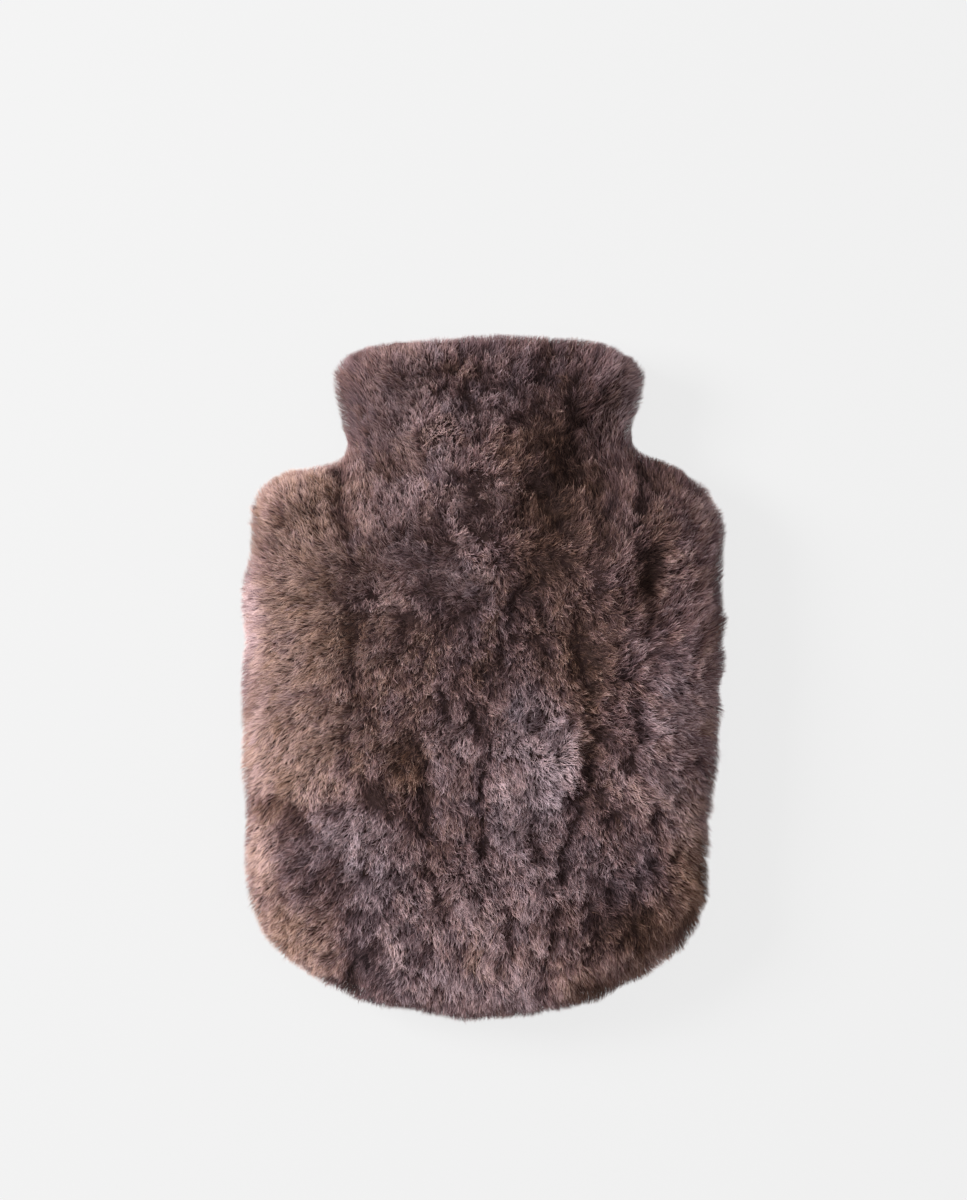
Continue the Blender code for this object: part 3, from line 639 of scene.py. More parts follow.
@dataclass(frozen=True)
class UndercoatFinish:
    """The undercoat between the hairs' roots, painted near black as the shade deep in the pile."""

    wool: Wool
    roughness: float = 0.95
    mottle_scale: float = 260.0
    mottle_detail: float = 4.0
    hue: float = 0.4
    # Tones at the deep stops: the undercoat's darkness is painted shade, only its mottle varies
    tones: tuple[float, float] = (0.0, 0.05)
    bump: float = 0.0012

    def material(self) -> bpy.types.Material:
        """Build the undercoat's material on the piece's own place in space.

        Returns:
            The material.
        """
        material = plain_material("undercoat", self.roughness)
        tree = material.node_tree
        shader = tree.nodes["shader"]
        place = tree.nodes.new("ShaderNodeTexCoord")
        mottle = tree.nodes.new("ShaderNodeTexNoise")
        mottle.inputs["Scale"].default_value = self.mottle_scale
        mottle.inputs["Detail"].default_value = self.mottle_detail
        tone = tree.nodes.new("ShaderNodeMapRange")
        tone.inputs["To Min"].default_value, tone.inputs["To Max"].default_value = self.tones
        colour = tree.nodes.new("ShaderNodeGroup")
        colour.node_tree = self.wool.group()
        colour.inputs["Hue"].default_value = self.hue
        bump = tree.nodes.new("ShaderNodeBump")
        bump.inputs["Distance"].default_value = self.bump
        tree.links.new(place.outputs["Object"], mottle.inputs["Vector"])
        tree.links.new(mottle.outputs["Fac"], tone.inputs["Value"])
        tree.links.new(tone.outputs["Result"], colour.inputs["Tone"])
        tree.links.new(mottle.outputs["Fac"], bump.inputs["Height"])
        tree.links.new(colour.outputs["Color"], shader.inputs["Base Color"])
        tree.links.new(bump.outputs["Normal"], shader.inputs["Normal"])
        return material


@dataclass(frozen=True)
class HideFinish:
    """The skin side of the sheepskin: a pale, brushed suede."""

    dark: Colour = (0.30, 0.215, 0.165)
    pale: Colour = (0.46, 0.355, 0.285)
    dark_at: float = 0.45
    pale_at: float = 0.95
    roughness: float = 0.88
    cloud_scale: float = 24.0
    cloud_detail: float = 5.0
    nap_scale: float = 900.0
    nap_detail: float = 2.0
    nap_share: float = 0.4
    bump: float = 0.0004

    def material(self) -> bpy.types.Material:
        """Build the hide's material on the piece's own place in space.

        Returns:
            The material.
        """
        material = plain_material("hide", self.roughness)
        tree = material.node_tree
        shader = tree.nodes["shader"]
        place = tree.nodes.new("ShaderNodeTexCoord")
        heights = []
        grains = ((self.cloud_scale, self.cloud_detail), (self.nap_scale, self.nap_detail))
        for scale, detail in grains:
            node = tree.nodes.new("ShaderNodeTexNoise")
            node.inputs["Scale"].default_value = scale
            node.inputs["Detail"].default_value = detail
            tree.links.new(place.outputs["Object"], node.inputs["Vector"])
            heights.append(node.outputs["Fac"])
        both = tree.nodes.new("ShaderNodeMath")
        both.operation = "MULTIPLY_ADD"
        both.inputs[1].default_value = self.nap_share
        tree.links.new(heights[1], both.inputs[0])
        tree.links.new(heights[0], both.inputs[2])
        shades = ramp(tree, ((self.dark_at, self.dark), (self.pale_at, self.pale)))
        tree.links.new(both.outputs["Value"], shades.inputs["Fac"])
        bump = tree.nodes.new("ShaderNodeBump")
        bump.inputs["Distance"].default_value = self.bump
        tree.links.new(heights[1], bump.inputs["Height"])
        tree.links.new(shades.outputs["Color"], shader.inputs["Base Color"])
        tree.links.new(bump.outputs["Normal"], shader.inputs["Normal"])
        return material


# ---------------------------------------------------------------- the panels' faces


class Side(Enum):
    """Which panel a piece belongs to."""

    FRONT = "front"
    BACK = "back"

    @property
    def node(self) -> str:
        """The name of the panel's CAD node."""
        return f"{self.value}_panel"

    @property
    def other(self) -> "Side":
        """The side of the panel that this one is sewn to."""
        return Side.BACK if self is Side.FRONT else Side.FRONT

    @property
    def eye_up(self) -> float:
        """The height in the hollow from which the panel's own faces are told apart."""
        return FRONT_EYE_UP if self is Side.FRONT else BACK_EYE_UP


def looks_out(side: Side, face: bmesh.types.BMFace) -> bool:
    """Tell whether a face of a panel's solid looks away from the cover's hollow.

    Args:
        side: The panel's side of the cover.
        face: The face.

    Returns:
        True if it looks away.
    """
    middle = face.calc_center_median()
    half = NECK_HALF if middle.y > SHOULDER_UP else BODY_HALF
    eye = Vector(
        (
            min(max(middle.x, -half), half),
            min(max(middle.y, HEEL_UP), NECK_UP),
            side.eye_up,
        )
    )
    return face.normal.dot(middle - eye) > 0


def panel_copy(side: Side) -> bmesh.types.BMesh:
    """Copy a panel's solid and merge its points.

    Args:
        side: The panel.

    Returns:
        The copy, whose layer outer is 1 on the faces that look out.
    """
    panel = bmesh.new()
    panel.from_mesh(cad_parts[side.node].data)
    bmesh.ops.remove_doubles(panel, verts=panel.verts, dist=WELD)
    panel.normal_update()
    outer = panel.faces.layers.int.new("outer")
    for face in panel.faces:
        face[outer] = int(looks_out(side, face))
    return panel


def joined_to(start: bmesh.types.BMFace) -> set[bmesh.types.BMFace]:
    """Find the faces that hang together with one.

    Args:
        start: The face to start from.

    Returns:
        That face and every face that can be reached from it over shared edges.
    """
    found = {start}
    waiting = [start]
    while waiting:
        for edge in waiting.pop().edges:
            for face in edge.link_faces:
                if face not in found:
                    found.add(face)
                    waiting.append(face)
    return found


def add_piece(name: str, mesh: bpy.types.Mesh, material: bpy.types.Material) -> bpy.types.Object:
    """Put a mesh in the scene as a piece of the cover that rides on its body.

    Args:
        name: The piece's name.
        mesh: Its mesh.
        material: Its material.

    Returns:
        The piece.
    """
    mesh.materials.append(material)
    piece = bpy.data.objects.new(name, mesh)
    bpy.context.scene.collection.objects.link(piece)
    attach(piece, BODY)
    LOG.info("%s: %d faces", name, len(mesh.polygons))
    return piece


@dataclass
class Skin:
    """The outer face of a panel as arrays: where the pile ends, and which way is out."""

    places: np.ndarray
    normals: np.ndarray
    triangles: np.ndarray
    shares: np.ndarray = field(init=False)
    area: float = field(init=False)

    def __post_init__(self) -> None:
        """Work out each triangle's share of the area."""
        a, b, c = (self.places[self.triangles[:, corner]] for corner in range(3))
        areas = np.linalg.norm(np.cross(b - a, c - a), axis=1) / 2
        self.area = float(areas.sum())
        self.shares = areas / areas.sum()

    @classmethod
    def of(cls, side: Side, passes: int = 4) -> "Skin":
        """Read a panel's outer face.

        Args:
            side: The panel.
            passes: How often the points are evened out, which takes out the solid's facets.

        Returns:
            The face as arrays.
        """
        panel = panel_copy(side)
        outer = panel.faces.layers.int["outer"]
        inner = [face for face in panel.faces if not face[outer]]
        bmesh.ops.delete(panel, geom=inner, context="FACES")
        bmesh.ops.triangulate(panel, faces=panel.faces)
        inside = [vertex for vertex in panel.verts if not vertex.is_boundary]
        for _ in range(passes):
            bmesh.ops.smooth_vert(
                panel, verts=inside, factor=EVENING, use_axis_x=True, use_axis_y=True, use_axis_z=True
            )
        panel.normal_update()
        panel.verts.index_update()
        places = np.array([vertex.co for vertex in panel.verts])
        normals = np.array([vertex.normal for vertex in panel.verts])
        triangles = np.array([[vertex.index for vertex in face.verts] for face in panel.faces])
        panel.free()
        return cls(places, normals, triangles)

    def scatter(self, count: int, rng: np.random.Generator) -> tuple[np.ndarray, np.ndarray]:
        """Spread points evenly over the face.

        Args:
            count: How many points.
            rng: Where the chances come from.

        Returns:
            The points and the directions out from them.
        """
        chosen = rng.choice(len(self.triangles), size=count, p=self.shares)
        one, two = rng.random((2, count))
        over = one + two > 1
        one, two = np.where(over, 1 - one, one), np.where(over, 1 - two, two)
        weights = np.stack([1 - one - two, one, two], axis=1)[:, :, None]
        corners = self.triangles[chosen]
        places = (self.places[corners] * weights).sum(axis=1)
        normals = (self.normals[corners] * weights).sum(axis=1)
        return places, unit(normals)


# ---------------------------------------------------------------- combing


def unit(vectors: np.ndarray) -> np.ndarray:
    """The vectors at length 1."""
    return vectors / np.maximum(np.linalg.norm(vectors, axis=-1, keepdims=True), TINY_LENGTH)


class Grain(Enum):
    """The smooth noises of the fleece, each with the seed that sets it apart."""

    LUMPS = 2.0
    TONE_CLOUDS = 3.0
    FLECKS = 4.0
    HUE_CLOUDS = 6.0
    SWIRLS = 10.0
    CRACKS = 20.0
    CRACKED_GROUND = 21.0
    STRAYING = 30.0


SEED_STEP = (7.31, 3.17, 5.03)  # how far apart in the noise two seeds lie


def rough_field(places: np.ndarray, pitch: float, grain: Grain, turn: int = 0) -> np.ndarray:
    """Read smooth noise, with lumps about a pitch apart.

    Args:
        places: Where to read it.
        pitch: How far apart its lumps are.
        grain: Which noise it is.
        turn: Which one, where a grain has several.

    Returns:
        The noise at each place, from -1 to 1.
    """
    shift = Vector([(grain.value + turn) * step for step in SEED_STEP])
    return np.array([noise.noise(Vector(place) / pitch + shift) for place in places])


def column(table: tuple, name: str) -> np.ndarray:
    """One column of a table as numbers."""
    return np.array([getattr(row, name) for row in table], float)


def share_in(table: tuple, places: np.ndarray) -> np.ndarray:
    """Tell how far inside the ovals of a table some places are.

    Args:
        table: The patches or the spots, whose sizes give the ovals.
        places: The places.

    Returns:
        An array of places by ovals, 1 in an oval's middle and 0 far from it.
    """
    across = places[:, 0:1] / MM - column(table, "across")
    up = places[:, 1:2] / MM - column(table, "up")
    turn = np.radians([getattr(row, "turn", 0.0) for row in table])
    along = across * np.cos(turn) + up * np.sin(turn)
    aside = up * np.cos(turn) - across * np.sin(turn)
    return np.exp(-((along / column(table, "wide")) ** 2) - (aside / column(table, "tall")) ** 2)


def near_lines(table: tuple[Line, ...], places: np.ndarray) -> tuple[np.ndarray, np.ndarray]:
    """Tell how strongly the lines of a table act at some places.

    Args:
        table: The lines.
        places: The places.

    Returns:
        The strongest line's strength there, and the direction away from it.
    """
    spots = places[:, :2] / MM
    strength = np.zeros(len(spots))
    away = np.zeros((len(spots), 2))
    for line in table:
        start = np.array([line.from_across, line.from_up])
        run = np.array([line.to_across, line.to_up]) - start
        along = np.clip((spots - start) @ run / (run @ run), 0, 1)
        off = spots - start - along[:, None] * run
        here = line.strength * np.exp(-(off**2).sum(axis=1) / line.width**2)
        stronger = here > strength
        strength[stronger] = here[stronger]
        away[stronger] = off[stronger]
    return strength, unit(away)


@dataclass(frozen=True)
class Comb:
    """Which way the fleece lies, how it parts, and where its hue and tone change."""

    stroke_reach: float = 1.4
    far_weight: float = 1e-9
    swirls: tuple[tuple[float, float], ...] = ((22 * MM, 0.7), (9 * MM, 0.45))
    swirls_in_curls: float = 0.9
    brushed_on_sides: float = 0.8
    crack_pitch: tuple[float, float, float] = (13 * MM, 26 * MM, 13 * MM)
    crack_width: float = 0.05
    cracked_pitch: float = 28 * MM
    cracked_share: float = 0.5
    cracked_contrast: float = 3.0
    straying: float = 3.0 * MM
    straying_pitch: float = 8.0 * MM
    plain_weight: float = 0.35

    def heading(self, places: np.ndarray) -> np.ndarray:
        """Read the combed direction in plan.

        Args:
            places: Where to read it.

        Returns:
            The direction at each place, of length 1.
        """
        across = places[:, 0:1] / MM - column(STROKES, "across")
        up = places[:, 1:2] / MM - column(STROKES, "up")
        reach = self.stroke_reach * column(STROKES, "reach")
        weights = np.exp(-(across**2 + up**2) / reach**2) + self.far_weight
        turns = np.radians(column(STROKES, "heading"))
        pull = np.stack([weights @ np.cos(turns), weights @ np.sin(turns)], axis=1)
        pull = pull / weights.sum(axis=1)[:, None]
        curling = 1 + self.swirls_in_curls * share_in(CURLS, places) @ column(CURLS, "strength")
        for index, (pitch, strength) in enumerate(self.swirls):
            for axis in (0, 1):
                swirl = rough_field(places, pitch, Grain.SWIRLS, 2 * index + axis)
                pull[:, axis] += strength * curling * swirl
        return unit(pull)

    def strayed(self, places: np.ndarray) -> np.ndarray:
        """Move places a little to and fro, so that lines through them wander.

        Args:
            places: The places.

        Returns:
            The places moved.
        """
        moved = places.copy()
        for axis in (0, 1):
            stray = rough_field(places, self.straying_pitch, Grain.STRAYING, axis)
            moved[:, axis] += self.straying * stray
        return moved

    def brushed(self, places: np.ndarray, steep: np.ndarray) -> np.ndarray:
        """How smooth the fleece lies at each place, from 0 to 1."""
        here = (share_in(BRUSHED, places) * column(BRUSHED, "strength")).max(axis=1)
        return np.clip(here + self.brushed_on_sides * steep, 0, 1)

    def cracks(self, places: np.ndarray) -> np.ndarray:
        """Find the small gaps between locks, where the hairs sink and are darkened with painted shade.

        Args:
            places: The places.

        Returns:
            How far inside a gap each place is, from 0 to 1.
        """
        line = rough_field(places / np.array(self.crack_pitch), 1.0, Grain.CRACKS)
        cracked = rough_field(places, self.cracked_pitch, Grain.CRACKED_GROUND)
        there = np.clip(self.cracked_share + self.cracked_contrast * cracked, 0, 1)
        return there * np.exp(-((line / self.crack_width) ** 2))

    def wool(self, places: np.ndarray) -> tuple[np.ndarray, np.ndarray]:
        """Read the wool's colour, with the patches' painted light and shade, before its locks vary.

        Args:
            places: The places.

        Returns:
            The hue and the tone at each place.
        """
        weights = share_in(PATCHES, places)
        tone = PLAIN_TONE + weights @ column(PATCHES, "tone")
        hue = PLAIN_HUE * self.plain_weight + weights @ column(PATCHES, "hue")
        return hue / (self.plain_weight + weights.sum(axis=1)), tone


def turned(directions: np.ndarray, axes: np.ndarray, angles: np.ndarray) -> np.ndarray:
    """Directions turned round axes that are square to them."""
    return directions * np.cos(angles)[:, None] + np.cross(axes, directions) * np.sin(angles)[:, None]


# ---------------------------------------------------------------- fleece


@dataclass
class Whims:
    """How each lock, tuft or hair differs from the rest of the fleece."""

    turn: np.ndarray
    rise: np.ndarray
    length: np.ndarray
    tone: np.ndarray
    hue: np.ndarray
    kink: np.ndarray
    height: np.ndarray

    @classmethod
    def drawn(cls, count: int, strengths: tuple[float, ...], rng: np.random.Generator) -> "Whims":
        """Draw whims at random.

        Args:
            count: How many.
            strengths: How strongly the turn, rise, length, tone, hue, kink and height vary.
            rng: Where the chances come from.

        Returns:
            The whims.
        """
        return cls(*(strength * rng.normal(0, 1, count) for strength in strengths))

    def with_base(self, base: "Whims", rows: np.ndarray) -> "Whims":
        """These whims on top of those of what each one belongs to."""
        return Whims(**{name: value + getattr(base, name)[rows] for name, value in vars(self).items()})


@dataclass
class Coat:
    """Hairs as arrays: where each one roots, and how it lies."""

    roots: np.ndarray
    normals: np.ndarray
    lean: np.ndarray
    length: np.ndarray
    rise: np.ndarray
    kink: np.ndarray
    hue: np.ndarray
    tone: np.ndarray
    brushed: np.ndarray

    def path(self, joints: int, bend: float) -> np.ndarray:
        """The points of each hair from its root to its tip.

        Args:
            joints: How many straight pieces a hair has.
            bend: How far it bends down, in radians.

        Returns:
            An array of hairs by joints + 1 by 3, each from its own root.
        """
        steps = 0.5 - (np.arange(joints) + 0.5) / joints
        angles = (self.rise[:, None] + bend * steps)[:, :, None]
        turns = (2 * self.kink[:, None] * steps)[:, :, None]
        aside = np.cross(self.normals, self.lean)
        onward = np.cos(turns) * self.lean[:, None] + np.sin(turns) * aside[:, None]
        pieces = np.sin(angles) * self.normals[:, None] + np.cos(angles) * onward
        path = np.zeros((len(self.roots), joints + 1, 3))
        path[:, 1:] = np.cumsum(pieces * (self.length / joints)[:, None, None], axis=1)
        return path


def tree_of(points: np.ndarray) -> KDTree:
    """Build a search tree.

    Args:
        points: The points that it holds.

    Returns:
        The tree, whose indices are the points' own.
    """
    tree = KDTree(len(points))
    for index, point in enumerate(points):
        tree.insert(point, index)
    tree.balance()
    return tree


def nearest(points: np.ndarray, places: np.ndarray) -> np.ndarray:
    """For each place, the index of the nearest point."""
    tree = tree_of(points)
    return np.array([tree.find(place)[1] for place in places])


def own_lock(
    locks: np.ndarray, leans: np.ndarray, places: np.ndarray, stretch: float, neighbours: int = 7
) -> tuple[np.ndarray, np.ndarray]:
    """Share places out among locks, which are longer the way that they lie.

    Args:
        locks: The middles of the locks.
        leans: The direction in which each lock lies.
        places: The places.
        stretch: How much longer a lock is than it is wide.
        neighbours: Among how many of the nearest locks a place chooses.

    Returns:
        For each place the index of its lock, and how far along from its middle it is.
    """
    tree = tree_of(locks)
    near = np.array([[found[1] for found in tree.find_n(place, neighbours)] for place in places])
    away = places[:, None] - locks[near]
    along = (away * leans[near]).sum(axis=2)
    reach = (away**2).sum(axis=2) - along**2 * (1 - 1 / stretch**2)
    rows = np.arange(len(places))
    best = reach.argmin(axis=1)
    return near[rows, best], along[rows, best]


def ribbon_faces(joints: int) -> list[tuple[int, ...]]:
    """Lay out the faces of one hair's ribbon.

    Args:
        joints: How many straight pieces the hair has.

    Returns:
        The corners of each face, counted over the left points, the right points and the tip.
    """
    faces = [(joint, joints + joint, joints + joint + 1, joint + 1) for joint in range(joints - 1)]
    return [*faces, (joints - 1, 2 * joints - 1, 2 * joints)]


def joined_mesh(
    name: str, corners: np.ndarray, faces: list[tuple[int, ...]]
) -> tuple[bpy.types.Mesh, np.ndarray]:
    """Make one mesh of many small forms with the same faces.

    Args:
        name: The mesh's name.
        corners: The forms' points, an array of forms by points by 3.
        faces: The points of each face of a form.

    Returns:
        The mesh, and the point at each corner of its faces.
    """
    count, per_form = corners.shape[:2]
    sizes = np.tile([len(face) for face in faces], count)
    pattern = np.concatenate([np.array(face) for face in faces])
    loops = (np.arange(count)[:, None] * per_form + pattern).ravel()
    starts = np.concatenate([[0], np.cumsum(sizes)[:-1]])
    mesh = bpy.data.meshes.new(name)
    mesh.vertices.add(count * per_form)
    mesh.vertices.foreach_set("co", corners.astype(np.float32).ravel())
    mesh.loops.add(len(loops))
    mesh.loops.foreach_set("vertex_index", loops.astype(np.int32))
    mesh.polygons.add(len(sizes))
    mesh.polygons.foreach_set("loop_start", starts.astype(np.int32))
    mesh.polygons.foreach_set("use_smooth", np.ones(len(sizes), bool))
    mesh.update(calc_edges=True)
    return mesh, loops


@dataclass
class Ground:
    """What the fleece is like at some places, as arrays.

    Here pull is the way that it is drawn, and shown is where the hairs' tips show. Openness and
    streak are the strengths of the partings and light locks there, and lumps and flecks are noises.
    The rest run from 0 to 1.
    """

    pull: np.ndarray
    shown: np.ndarray
    steep: np.ndarray
    brushed: np.ndarray
    calm: np.ndarray
    openness: np.ndarray
    streak: np.ndarray
    cracks: np.ndarray
    curly: np.ndarray
    lumps: np.ndarray
    flecks: np.ndarray


@dataclass(frozen=True)
class Depths:
    """How far in millimetres the hairs sink in or stand out with the ground that they grow on."""

    everywhere: float = 0.6
    lump: float = 2.2
    fleck: float = 1.3
    more_in_curls: float = 0.8
    crack: float = 1.8
    parting: float = 1.6
    streak: float = 0.8
    limits: tuple[float, float] = (-1.0, 3.4)


@dataclass(frozen=True)
class Tones:
    """How light the hairs are, by the ground that they grow on and from root to tip. The darkening in
    cracks and partings and towards the root is painted shade, and the lightening along light locks is
    partly a painted highlight.
    """

    lump: float = 0.20
    fleck: float = 0.16
    more_in_curls: float = 0.9
    # Painted shade in the gaps between locks
    crack: float = 0.26
    cloud: float = 0.05
    cloud_pitch: float = 24 * MM
    # Painted shade at partings
    parting: float = 0.42
    # Partly a painted highlight along light locks
    streak: float = 0.60
    steep: float = 0.16
    scatter: float = 0.05
    tip_limits: tuple[float, float] = (0.10, 0.96)
    bright_share: float = 0.18
    brighter_by: tuple[float, float] = (0.12, 0.46)
    # The tone at the hairs' roots: painted shade deep in the pile
    root: float = 0.02
    fade: float = 1.3
    fade_less_brushed: float = 0.25
    fade_less_pale: float = 0.8
    pale_from: float = 0.96


@dataclass(frozen=True)
class Hues:
    """How the wool's hue varies."""

    cloud: float = 0.08
    cloud_pitch: float = 20 * MM
    scatter: float = 0.05
    across_hair: float = 0.003


MAP_LIMITS = (0.01, 0.99)  # hues and tones stay this far inside the map


@dataclass
class Fleece:
    """The combed fleece of one panel: locks of tufts of hairs."""

    side: Side
    skin: Skin
    comb: Comb
    hairs: int
    zones: tuple[float, ...]
    seed: int
    depths: Depths = Depths()
    tones: Tones = Tones()
    hues: Hues = Hues()
    # One hair
    joints: int = 2
    length: float = 6.2 * MM
    rise: float = math.radians(48)
    bend: float = math.radians(40)
    width: float = 0.25 * MM
    fineness: tuple[float, float] = (0.7, 1.3)
    finer_brushed: float = 0.2
    roll: float = 0.45
    taper_at: tuple[float, ...] = (0, 0.35, 1.0)
    taper: tuple[float, ...] = (0.8, 1.0, 0.0)
    # How the hairs stand on the panel
    short_of_skin: float = -0.5 * MM
    overhang: float = 2.8 * MM
    floor: float = 0.25 * MM
    calmed_brushed: float = 0.75
    less_turned_brushed: float = 0.5
    push_from_parting: float = 0.7
    shorter_in_parting: float = 0.15
    droop: float = 0.4
    kink_in_curls: float = 0.6
    lump_pitch: float = 7 * MM
    fleck_pitch: float = 4 * MM
    # How they hang together
    lock_pitch: float = 8.5 * MM
    lock_stretch: float = 1.9
    lock_hold: float = 0.2
    lock_shade: float = 0.24
    lock_lift: float = 1.3 * MM
    tuft_pitch: float = 1.2 * MM
    tuft_hold: float = 0.5
    hold_varies: tuple[float, float] = (0.4, 1.0)
    hold_curve: float = 1.3
    looser_brushed: float = 0.85
    spread: float = 0.38
    # How they differ: turn, rise, length, tone, hue, kink and height
    lock_whims: tuple[float, ...] = (0.28, math.radians(6), 0.08, 0.06, 0.07, 0.0, 0.5 * MM)
    tuft_whims: tuple[float, ...] = (0.30, math.radians(8), 0.10, 0.15, 0.06, 0.7, 0.2 * MM)
    hair_whims: tuple[float, ...] = (0.48, math.radians(9), 0.10, 0.15, 0.05, 0.8, 0.0)

    def ground(self, places: np.ndarray, normals: np.ndarray) -> Ground:
        """Tell what the fleece is like where hairs grow.

        Args:
            places: Where the hairs would end if they stood up straight.
            normals: The directions out of the panel there.

        Returns:
            The ground at each place.
        """
        steep = 1 - np.clip(np.abs(normals[:, 2]), 0, 1)
        brushed = self.comb.brushed(places, steep)
        pull = np.zeros(places.shape)
        pull[:, :2] = self.comb.heading(places)
        shown = places + self.overhang * pull
        strayed = self.comb.strayed(shown)
        openness, off = near_lines(PARTINGS, strayed)
        pull[:, :2] += self.push_from_parting * openness[:, None] * off
        outward = normals.copy()
        outward[:, 2] = 0
        pull += self.droop * steep[:, None] * unit(outward)
        return Ground(
            pull=pull,
            shown=shown,
            steep=steep,
            brushed=brushed,
            calm=1 - self.calmed_brushed * brushed,
            openness=openness,
            streak=near_lines(STREAKS, strayed)[0],
            cracks=self.comb.cracks(places),
            curly=np.clip(share_in(CURLS, places) @ column(CURLS, "strength"), 0, 1),
            lumps=rough_field(places, self.lump_pitch, Grain.LUMPS),
            flecks=rough_field(places, self.fleck_pitch, Grain.FLECKS),
        )

    def rooted(self, ground: Ground, places: np.ndarray, whims: Whims) -> np.ndarray:
        """Tell how deep the hairs root.

        Args:
            ground: The ground that they grow on.
            places: Where the hairs would end if they stood up straight.
            whims: How each hair differs from the rest.

        Returns:
            How far each root lies in from where the pile ends.
        """
        depths = self.depths
        relief = depths.lump * ground.lumps + depths.fleck * ground.flecks
        raised = (1 + depths.more_in_curls * ground.curly) * relief
        sunk = ground.calm * (
            depths.everywhere - raised + depths.crack * ground.cracks - whims.height / MM
        )
        sunk = (1 - ground.steep) * sunk
        sunk = sunk + depths.parting * ground.openness - depths.streak * ground.streak
        reach = self.length * math.sin(self.rise) + self.short_of_skin
        trims = share_in(TRIMS, places) @ column(TRIMS, "strength")
        return reach + np.clip(sunk, *depths.limits) * MM - trims * MM

    def toned(
        self, ground: Ground, places: np.ndarray, tone: np.ndarray, whims: Whims
    ) -> np.ndarray:
        """Tone the wool by the ground that it grows on, with painted shade in cracks and partings and
        a partly painted highlight along light locks.

        Args:
            ground: The ground.
            places: The places.
            tone: The wool's own tone there.
            whims: How each hair differs from the rest.

        Returns:
            The tone of each hair.
        """
        tones = self.tones
        mottle = tones.fleck * ground.flecks + tones.lump * ground.lumps
        mottle = (1 + tones.more_in_curls * ground.curly) * mottle
        # Darker in the gaps between locks: painted shade
        tone = tone + ground.calm * (whims.tone + mottle - tones.crack * ground.cracks)
        shift = tones.cloud * rough_field(places, tones.cloud_pitch, Grain.TONE_CLOUDS)
        # Darker at partings, painted shade; lighter along light locks, partly a painted highlight
        shift = shift - tones.parting * ground.openness + tones.streak * ground.streak
        return tone + (shift - tones.steep * ground.steep)

    def combed(self, places: np.ndarray, normals: np.ndarray, whims: Whims) -> Coat:
        """Comb the hairs that grow at some places.

        Args:
            places: Where the hairs would end if they stood up straight.
            normals: The directions out of the panel there.
            whims: How each hair differs from the rest.

        Returns:
            The hairs before they hang together.
        """
        ground = self.ground(places, normals)
        lean = unit(ground.pull - (ground.pull * normals).sum(axis=1)[:, None] * normals)
        turns = (1 - self.less_turned_brushed * ground.brushed) * whims.turn
        longer = 1 + ground.calm * whims.length
        hue, tone = self.comb.wool(ground.shown)
        hue_clouds = rough_field(places, self.hues.cloud_pitch, Grain.HUE_CLOUDS)
        return Coat(
            roots=places - normals * self.rooted(ground, places, whims)[:, None],
            normals=normals,
            lean=unit(turned(lean, normals, turns)),
            length=self.length * longer * (1 - self.shorter_in_parting * ground.openness),
            rise=self.rise + ground.calm * whims.rise,
            kink=ground.calm * (1 + self.kink_in_curls * ground.curly) * whims.kink,
            hue=hue + whims.hue + self.hues.cloud * hue_clouds,
            tone=self.toned(ground, places, tone, whims),
            brushed=ground.brushed,
        )

    def gathered(
        self,
        path: np.ndarray,
        roots: np.ndarray,
        lead: np.ndarray,
        lead_roots: np.ndarray,
        hold: np.ndarray,
    ) -> np.ndarray:
        """Bend hairs towards the ones that they hang together with.

        Args:
            path: The hairs' points, each from its own root.
            roots: The hairs' roots.
            lead: The points of the hair that each one follows, from that hair's root.
            lead_roots: The roots of those.
            hold: How firmly each hair follows.

        Returns:
            The hairs' new points, each from its own root.
        """
        apart = (roots - lead_roots)[:, None, :]
        steps = np.linspace(0, 1, path.shape[1])[None, :, None]
        share = hold[:, None, None] * steps**self.hold_curve
        return path * (1 - share) + (lead + apart * (self.spread - 1)) * share

    def grown(self, rng: np.random.Generator) -> tuple[Coat, np.ndarray]:
        """Grow the hairs and let them hang together.

        Args:
            rng: Where the chances come from.

        Returns:
            The hairs, and their points in space.
        """
        locks = self.skin.scatter(int(self.skin.area / self.lock_pitch**2), rng)
        lock_whims = Whims.drawn(len(locks[0]), self.lock_whims, rng)
        lock_coat = self.combed(*locks, lock_whims)
        tufts = self.skin.scatter(int(self.skin.area / self.tuft_pitch**2), rng)
        lock_of, along = own_lock(locks[0], lock_coat.lean, tufts[0], self.lock_stretch)
        tuft_whims = Whims.drawn(len(tufts[0]), self.tuft_whims, rng).with_base(lock_whims, lock_of)
        towards_tip = np.clip(along / self.lock_pitch, -1, 1)
        tuft_whims.tone += self.lock_shade * towards_tip
        tuft_whims.height += self.lock_lift * towards_tip
        tuft_coat = self.combed(*tufts, tuft_whims)
        places, normals = self.skin.scatter(self.hairs, rng)
        tuft_of = nearest(tufts[0], places)
        whims = Whims.drawn(self.hairs, self.hair_whims, rng).with_base(tuft_whims, tuft_of)
        coat = self.combed(places, normals, whims)
        tuft_path = self.gathered(
            tuft_coat.path(self.joints, self.bend),
            tuft_coat.roots,
            lock_coat.path(self.joints, self.bend)[lock_of],
            lock_coat.roots[lock_of],
            self.lock_hold * (1 - tuft_coat.brushed),
        )
        loose = 1 - self.looser_brushed * coat.brushed
        path = self.gathered(
            coat.path(self.joints, self.bend),
            coat.roots,
            tuft_path[tuft_of],
            tuft_coat.roots[tuft_of],
            self.tuft_hold * rng.uniform(*self.hold_varies, self.hairs) * loose,
        )
        path += coat.roots[:, None]
        path[:, :, 2] = np.maximum(path[:, :, 2], self.floor)
        return coat, path

